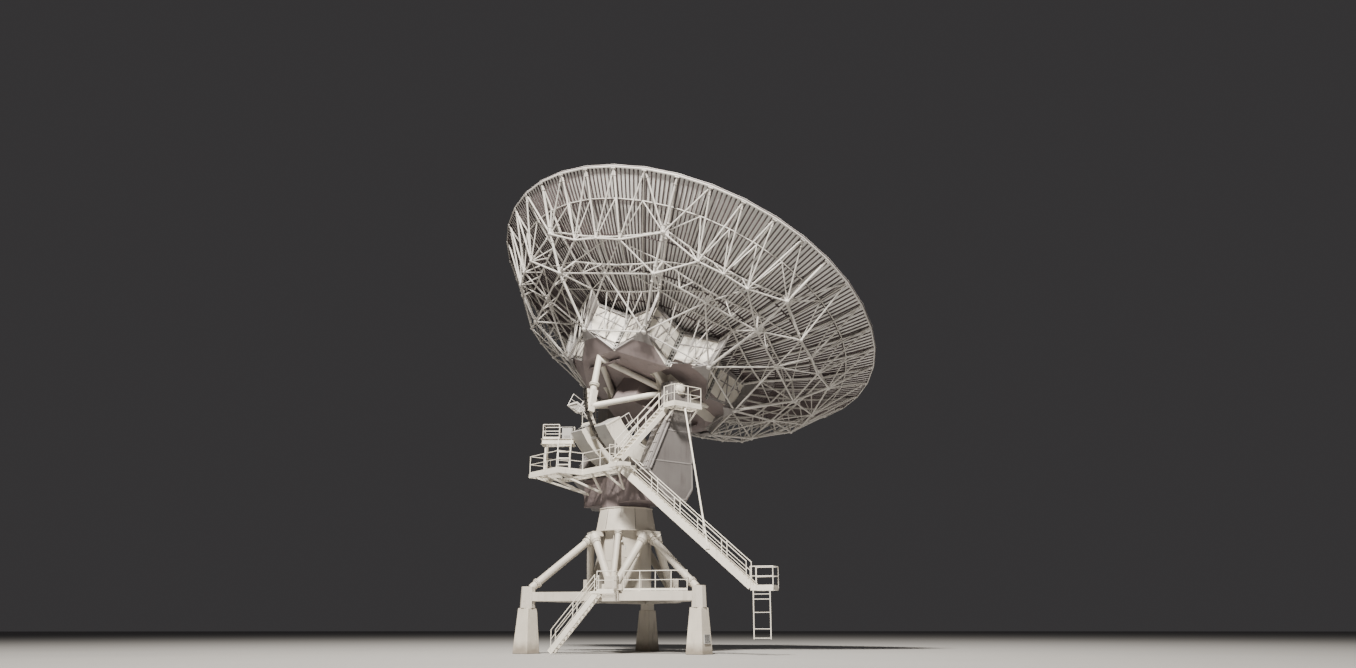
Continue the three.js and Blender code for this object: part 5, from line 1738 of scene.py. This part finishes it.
def housing_seams():
    """The dark joint line beside three of the strips, where the housing's plates were cut on site."""
    turns = HOUSING_TURN + 1.6 + 30 * np.array([1, 3, 8])
    return [cone_strip(turn, (1.738, 6.74), (1.518, 7.92), 0.025, 0.012) for turn in turns]


make_piece("housing_strips", on_mount(housing_trim()), base_paint, "base")
make_piece("housing_joint_lines", on_mount(housing_seams()), shade_and_black, "base")

# %% [markdown]
# The pedestal room has eight walls with corner strips, a belt at two heights and rows of bolts. It has
# a flush door, and a pipe comes down to a junction box on the deck. Each fitting is placed from the
# middle of its wall, so that it stays flat on it.

# %% Strips, door and pipe of the pedestal room
ROOM_TURN = 91.2
WALL_REACH = 1.372


def wall_frame(degrees, reach, z):
    """A point in the middle of a flat wall, with its outward and its sideways direction."""
    return polar(reach, degrees, z), polar(1, degrees), polar(1, degrees + 90)


def room_trim():
    """Corner strips, a belt at two heights and a row of bolts on each wall."""
    corner = math.radians(ROOM_TURN)
    parts = []
    for z in (3.14, 5.02):
        parts.append(turned([[1.46, z], [1.495, z], [1.495, z + 0.05], [1.46, z + 0.05]], 8, corner))
    for k in range(8):
        parts.append(cone_strip(ROOM_TURN + 45 * k, (1.482, 3.12), (1.482, 6.1), 0.05, 0.012))
        spot, out, side = wall_frame(ROOM_TURN + 22.5 + 45 * k, WALL_REACH, 0)
        bolts = spot + np.outer(np.arange(3.4, 6.0, 0.3), UP) + side * 0.42
        parts.append(bolt_heads(bolts, out, 0.015, 0.014))
    return parts


def room_door(degrees):
    """A flush steel door with its frame, three hinges and a bow handle."""
    spot, out, side = wall_frame(degrees, 1.375, 4.15)
    jambs = spot + out * 0.02 + np.outer((-0.46, 0.46), side)
    hinges = spot + side * 0.42 + out * 0.04 + np.outer((-0.8, 0, 0.8), UP)
    grip = spot - side * 0.34 + out * 0.07
    ends = grip + np.outer((-0.12, 0.12), UP)
    return [boxes(spot + out * 0.012, [0.84, 0.024, 2.02], side),
            boxes(jambs, [0.06, 0.05, 2.14], side),
            boxes(spot + UP * 1.05 + out * 0.02, [0.98, 0.05, 0.06], side),
            tubes(hinges - UP * 0.06, hinges + UP * 0.06, 0.018, 10),
            tubes(ends[0], ends[1], 0.011, 10),
            tubes(ends, ends - out * 0.05, 0.011, 10)]


def service_pipe(degrees):
    """The pipe from under the housing down the wall to a junction box, held by three clips."""
    spot, out, side = wall_frame(degrees, 1.46, 0)
    top, foot = spot + UP * 6.0 + side * 0.35, spot + UP * 3.75 + side * 0.1
    clips = share_of(top, foot, np.array([[0.15], [0.5], [0.85]])) - out * 0.03
    return [tubes(top, foot, 0.024, 12), tubes(top, top + UP * 0.45, 0.024, 12),
            boxes(foot + out * 0.04 - UP * 0.22, [0.3, 0.2, 0.44], side),
            boxes(clips, [0.1, 0.07, 0.03], side)]


fittings = room_trim() + room_door(ROOM_TURN + 67.5) + service_pipe(ROOM_TURN + 12)
make_piece("room_fittings", on_mount(fittings), base_paint, "base", bevel=0.004)

# %% [markdown]
# High on one wall is a fan behind a round guard, with a lamp over it. The opening behind the guard is
# a dark disc a few millimetres proud of the wall, painted shade, because the wall itself has no hole there.

# %% Fan and lamp of the pedestal room
LAMP_SHADE = [[0.03, 0.02], [0.07, 0.0], [0.085, -0.07], [0.08, -0.075]]


def room_fan(degrees):
    """A round fan guard: a ring, a hub and six spokes in front of a dark disc of painted shade, with a lamp
    above.
    """
    spot, out, side = wall_frame(degrees, WALL_REACH, 5.72)
    t = np.arange(6) * np.pi / 3
    rays = np.outer(np.cos(t), side) + np.outer(np.sin(t), UP)
    lamp = spot + UP * 0.36
    guard = [moved(turned([[0.17, 0], [0.215, 0], [0.215, 0.05], [0.17, 0.05]], 36), looking(out), spot),
             tubes(spot + rays * 0.03 + out * 0.04, spot + rays * 0.19 + out * 0.04, 0.008, 8),
             tubes(lamp, lamp + out * 0.16, 0.02, 10),
             moved(capped(LAMP_SHADE, 20), None, lamp + out * 0.18)]
    dark = [tubes(spot + out * 0.004, spot + out * 0.02, 0.172, 36),
            tubes(spot, spot + out * 0.055, 0.045, 20)]
    return guard, dark


fan_guard, fan_dark = room_fan(ROOM_TURN + 22.5 + 22)
make_piece("room_fan_guard", on_mount(fan_guard), galvanised, "base")
make_piece("room_fan_opening_shade", on_mount(fan_dark), shade_and_black, "base")

# %% [markdown]
# Each yoke arm is a plated box. Angles stiffen its outer face round the edge, three cable channels
# run down its rear slope from the bearing to the deck, and its bearing cap is bolted down on top. The
# outline of the face is drawn once, and the bars follow it a little way in from its edge.

# %% Edge angles, cable channels and bearing caps on the yoke arms
ARM_OUTLINE = np.array([(-2.05, 8.9), (-1.55, 8.2), (-0.1, 8.2), (0.7, 9.28), (1.3, 9.85), (-0.45, 13.7),
                        (-0.45, 15.1), (-1.75, 15.1), (-1.95, 13.0)])
ARM_BARS = (((-1.95, 12.2), (0.1, 12.2)), ((-2.0, 10.4), (0.95, 10.4)))
ARM_OUTER = 3.6
ARM_CHANNELS = ((3.50, 0.05, 0.12), (3.32, 0.05, 0.09), (3.655, -0.16, 0.09))
BEARING_Y, BEARING_Z = -1.10, 14.7
CAP = [[0.36, 0.0], [0.36, 0.03], [0.27, 0.035], [0.25, 0.16], [0.2, 0.19], [0.05, 0.2]]


def arm_edge_angles(side):
    """A flat bar along each edge of the outer face, drawn in a little, and two across the plate."""
    x, out = side * (ARM_OUTER + 0.008), (side, 0, 0)
    inset = share_of(ARM_OUTLINE, ARM_OUTLINE.mean(0), 0.045)
    edge = np.column_stack([np.full(len(inset), x), inset])
    ends = [(x, y, z) for bar in ARM_BARS for y, z in bar]
    return [beams(edge, np.roll(edge, -1, 0), 0.09, 0.016, out),
            beams(ends[::2], ends[1::2], 0.07, 0.016, out)]


def arm_channels(side):
    """Cable channels down the rear slope with a clamp every 0.6 m, and one on the outer face."""
    top, foot = np.array([0, -0.40, 13.35]), np.array([0, 1.22, 9.98])
    way = unit(foot - top)
    out = np.cross(way, ACROSS)
    out = out if out[1] > 0 else -out
    parts = []
    for x, proud, width in ARM_CHANNELS:
        shift = out * proud + [side * x, 0, 0]
        parts.append(beams(top + shift, foot + shift, width, 0.07, out))
    clamps = top + np.outer(np.linspace(0.35, 3.4, 6), way) + out * 0.07 + [side * 3.42, 0, 0]
    parts.append(boxes(clamps, [0.34, 0.05, 0.10], ACROSS, out))
    return parts


def bearing_cap(side):
    """The bolted cap over the trunnion's outer end: a flanged disc with a ring of bolts."""
    centre = np.array([side * ARM_OUTER, BEARING_Y, BEARING_Z])
    out = np.array([side, 0, 0])
    return [moved(capped(CAP, 40), looking(out), centre), bolt_ring(centre + out * 0.03, out, 0.315, 16)]


for side, name in ((-1, "left"), (1, "right")):
    make_piece(f"yoke_arm_{name}_angles", on_mount(arm_edge_angles(side) + arm_channels(side)), flange_grey_and_shade,
               "yoke", bevel=0.004)
    make_piece(f"bearing_cap_{name}", on_mount(bearing_cap(side)), white_paint, "yoke",
               bevel=0.004)

# %% [markdown]
# The counterweights are steel boxes bolted together in courses. Flat bars frame each course, and a
# low rail stands on the near one for whoever inspects the gear. All are placed by radius and angle
# about the elevation axis, as the weights follow the gear's arc.

# %% Frames and rail on the counterweights
WEIGHT_SIDE, WEIGHT_IN, WEIGHT_OUT, WEIGHT_HALF = 1.74, 3.4, 4.55, 32.0


def weight_frame(side):
    """Flat bars round a weight's outer side and across it, and bolt heads in the corners of a course."""
    x = side * (WEIGHT_SIDE + 0.012)
    out = np.array([side, 0, 0])
    low, high = WEIGHT_IN + 0.05, WEIGHT_OUT - 0.05
    parts = []
    for radius in (low, high):
        arc = gear_point(radius, np.linspace(-WEIGHT_HALF + 0.5, WEIGHT_HALF - 0.5, 17), x)
        parts.append(beams(arc[:-1], arc[1:], 0.09, 0.024, out))
    courses = (-31, -10.5, 10.5, 31)
    parts.append(beams(gear_point(low, courses, x), gear_point(high, courses, x), 0.09, 0.024, out))
    for degrees in (-29, -12.5, -8.5, 8.5, 12.5, 29):
        parts.append(bolt_heads(gear_point((3.6, 3.85, 4.1, 4.35), degrees, x), out, 0.035))
    return parts


def weight_rail():
    """Posts that stand inward from the near weight and two rails that follow its curve."""
    x = -(WEIGHT_SIDE - 0.06)
    degrees = np.array([30.0, 20.0, 10.0, 0.0])
    low, high = gear_point(WEIGHT_IN + 0.02, degrees, x), gear_point(WEIGHT_IN - 0.75, degrees, x)
    parts = [tubes(low, high, 0.022, 10)]
    for drop in (0.75, 0.4):
        line = gear_point(WEIGHT_IN - drop, degrees, x)
        parts.append(tubes(line[:-1], line[1:], 0.02, 10))
    return parts


for side, name in ((-1, "left"), (1, "right")):
    make_piece(f"counterweight_{name}_bars", on_dish(weight_frame(side)), white_paint, "dish",
               bevel=0.004)
make_piece("counterweight_rail", on_dish(weight_rail()), tube_paint, "dish")

# %% [markdown]
# Beside the gear's upper end hangs a small platform for greasing it: a grating floor, two hangers, two
# struts and a rail. It tips with the dish, so it is set out in the dish's frame like the gear.

# %% Platform beside the gear
PLATFORM_Z = -2.9


def gear_platform():
    """The small platform beside the gear's upper end: a floor, its hangers, struts and a rail."""
    corners = np.array([(0.13, 2.93), (1.08, 2.93), (1.08, 3.7), (0.13, 3.7)])
    p = np.column_stack([corners, np.full(4, PLATFORM_Z)])
    parts = grating(0.15, 1.06, 2.95, 3.68, PLATFORM_Z)
    parts.append(beams(p, np.roll(p, -1, 0), 0.05, 0.1))
    for x in (0.16, 1.05):
        parts.append(tubes((x, 2.95, PLATFORM_Z), (x * 0.4, 3.15, -1.6), 0.03, 10))
        parts.append(tubes((x, 3.5, PLATFORM_Z), (0.13, 2.6, -3.3), 0.03, 10))
    rail = p[:3] + UP * 0.02
    parts.append(tubes(rail, rail + UP * 0.8, 0.02, 10))
    for height in (0.8, 0.44):
        parts.append(tubes(rail[:-1] + UP * height, rail[1:] + UP * height, 0.018, 10))
    return parts


make_piece("gear_platform", on_dish(gear_platform()), tube_paint, "dish")

# %% [markdown]
# The camera stands where the photograph was taken from: low, behind the dish and to its right, and
# looking up. Its place and its lens were worked out from the rim's ellipse and the piers.

# %% Camera
CAMERA_PLACE = np.array([-49.333, 41.188, 1.26])
CAMERA_LOOK = np.array([0.7425, -0.6123, 0.2714])
LENS = 27.84


def aim(thing, place, target):
    """Puts a camera or light at a place, with its own -Z towards a target and its top up."""
    thing.location = Vector(place)
    thing.rotation_euler = (Vector(target) - Vector(place)).to_track_quat("-Z", "Y").to_euler()


lens = bpy.data.cameras.new("behind the dish")
lens.sensor_width = 36
lens.lens = LENS
lens.clip_end = 2000
camera = added("camera", lens)
aim(camera, CAMERA_PLACE, CAMERA_PLACE + CAMERA_LOOK)
bpy.context.scene.camera = camera
print("camera height:", CAMERA_PLACE[2])

# %% [markdown]
# A plain pale floor shows where the telescope stands and throws a little light up under it. It is a
# disc so wide that its edge is the horizon, and it belongs to the stage, not to the telescope.

# %% Floor
FLOOR_RADIUS = 900


def plain_floor():
    """A round floor disc whose top is at the ground, wide enough to reach the horizon."""
    material, add, feed, place = start_material("pale floor")
    feed("Base Color", blend(add, noise(add, place, 0.12, 4), (0.40, 0.392, 0.384), (0.36, 0.353, 0.346)))
    feed("Roughness", 0.85)
    points, faces = capped([[FLOOR_RADIUS, -0.5], [FLOOR_RADIUS, 0.0]], 96)
    mesh = bpy.data.meshes.new("floor")
    mesh.from_pydata(points.tolist(), [], [f.tolist() for patch in faces for f in patch])
    mesh.materials.append(material)
    floor = added("floor", mesh)
    return floor


print("floor radius:", plain_floor().dimensions[0] / 2)

# %% [markdown]
# One broad key light comes from the side that is lit in the photograph, a weak one fills the shadows
# and a third stands for the sky. They are large soft squares, so that no shadow has a hard edge.

# %% Light
LAMP_TARGET = (0, 0, 13)


def soft_light(name, place, size, power, colour, spread=180):
    """A square area light that looks at the middle of the telescope."""
    data = bpy.data.lights.new(name, "AREA")
    data.shape = "SQUARE"
    data.size = size
    data.spread = math.radians(spread)
    data.energy = power
    data.color = colour
    light = added(name, data)
    aim(light, place, LAMP_TARGET)
    return light


soft_light("key light", (-49, 63, 93), 12, 100000, (1.0, 0.945, 0.86), 90)
soft_light("near fill", (-75, 20, 12), 30, 200, (1.0, 0.93, 0.93))
soft_light("sky light", (10, -45, 70), 45, 3500, (0.97, 0.98, 1.0))
world = bpy.data.worlds.new("pale sky")
bpy.context.scene.world = world
world.use_nodes = True
sky = world.node_tree.nodes["Background"].inputs
sky["Color"].default_value = (0.43, 0.41, 0.425, 1)
sky["Strength"].default_value = 0.10
print("camera and lights set")

# %% [markdown]
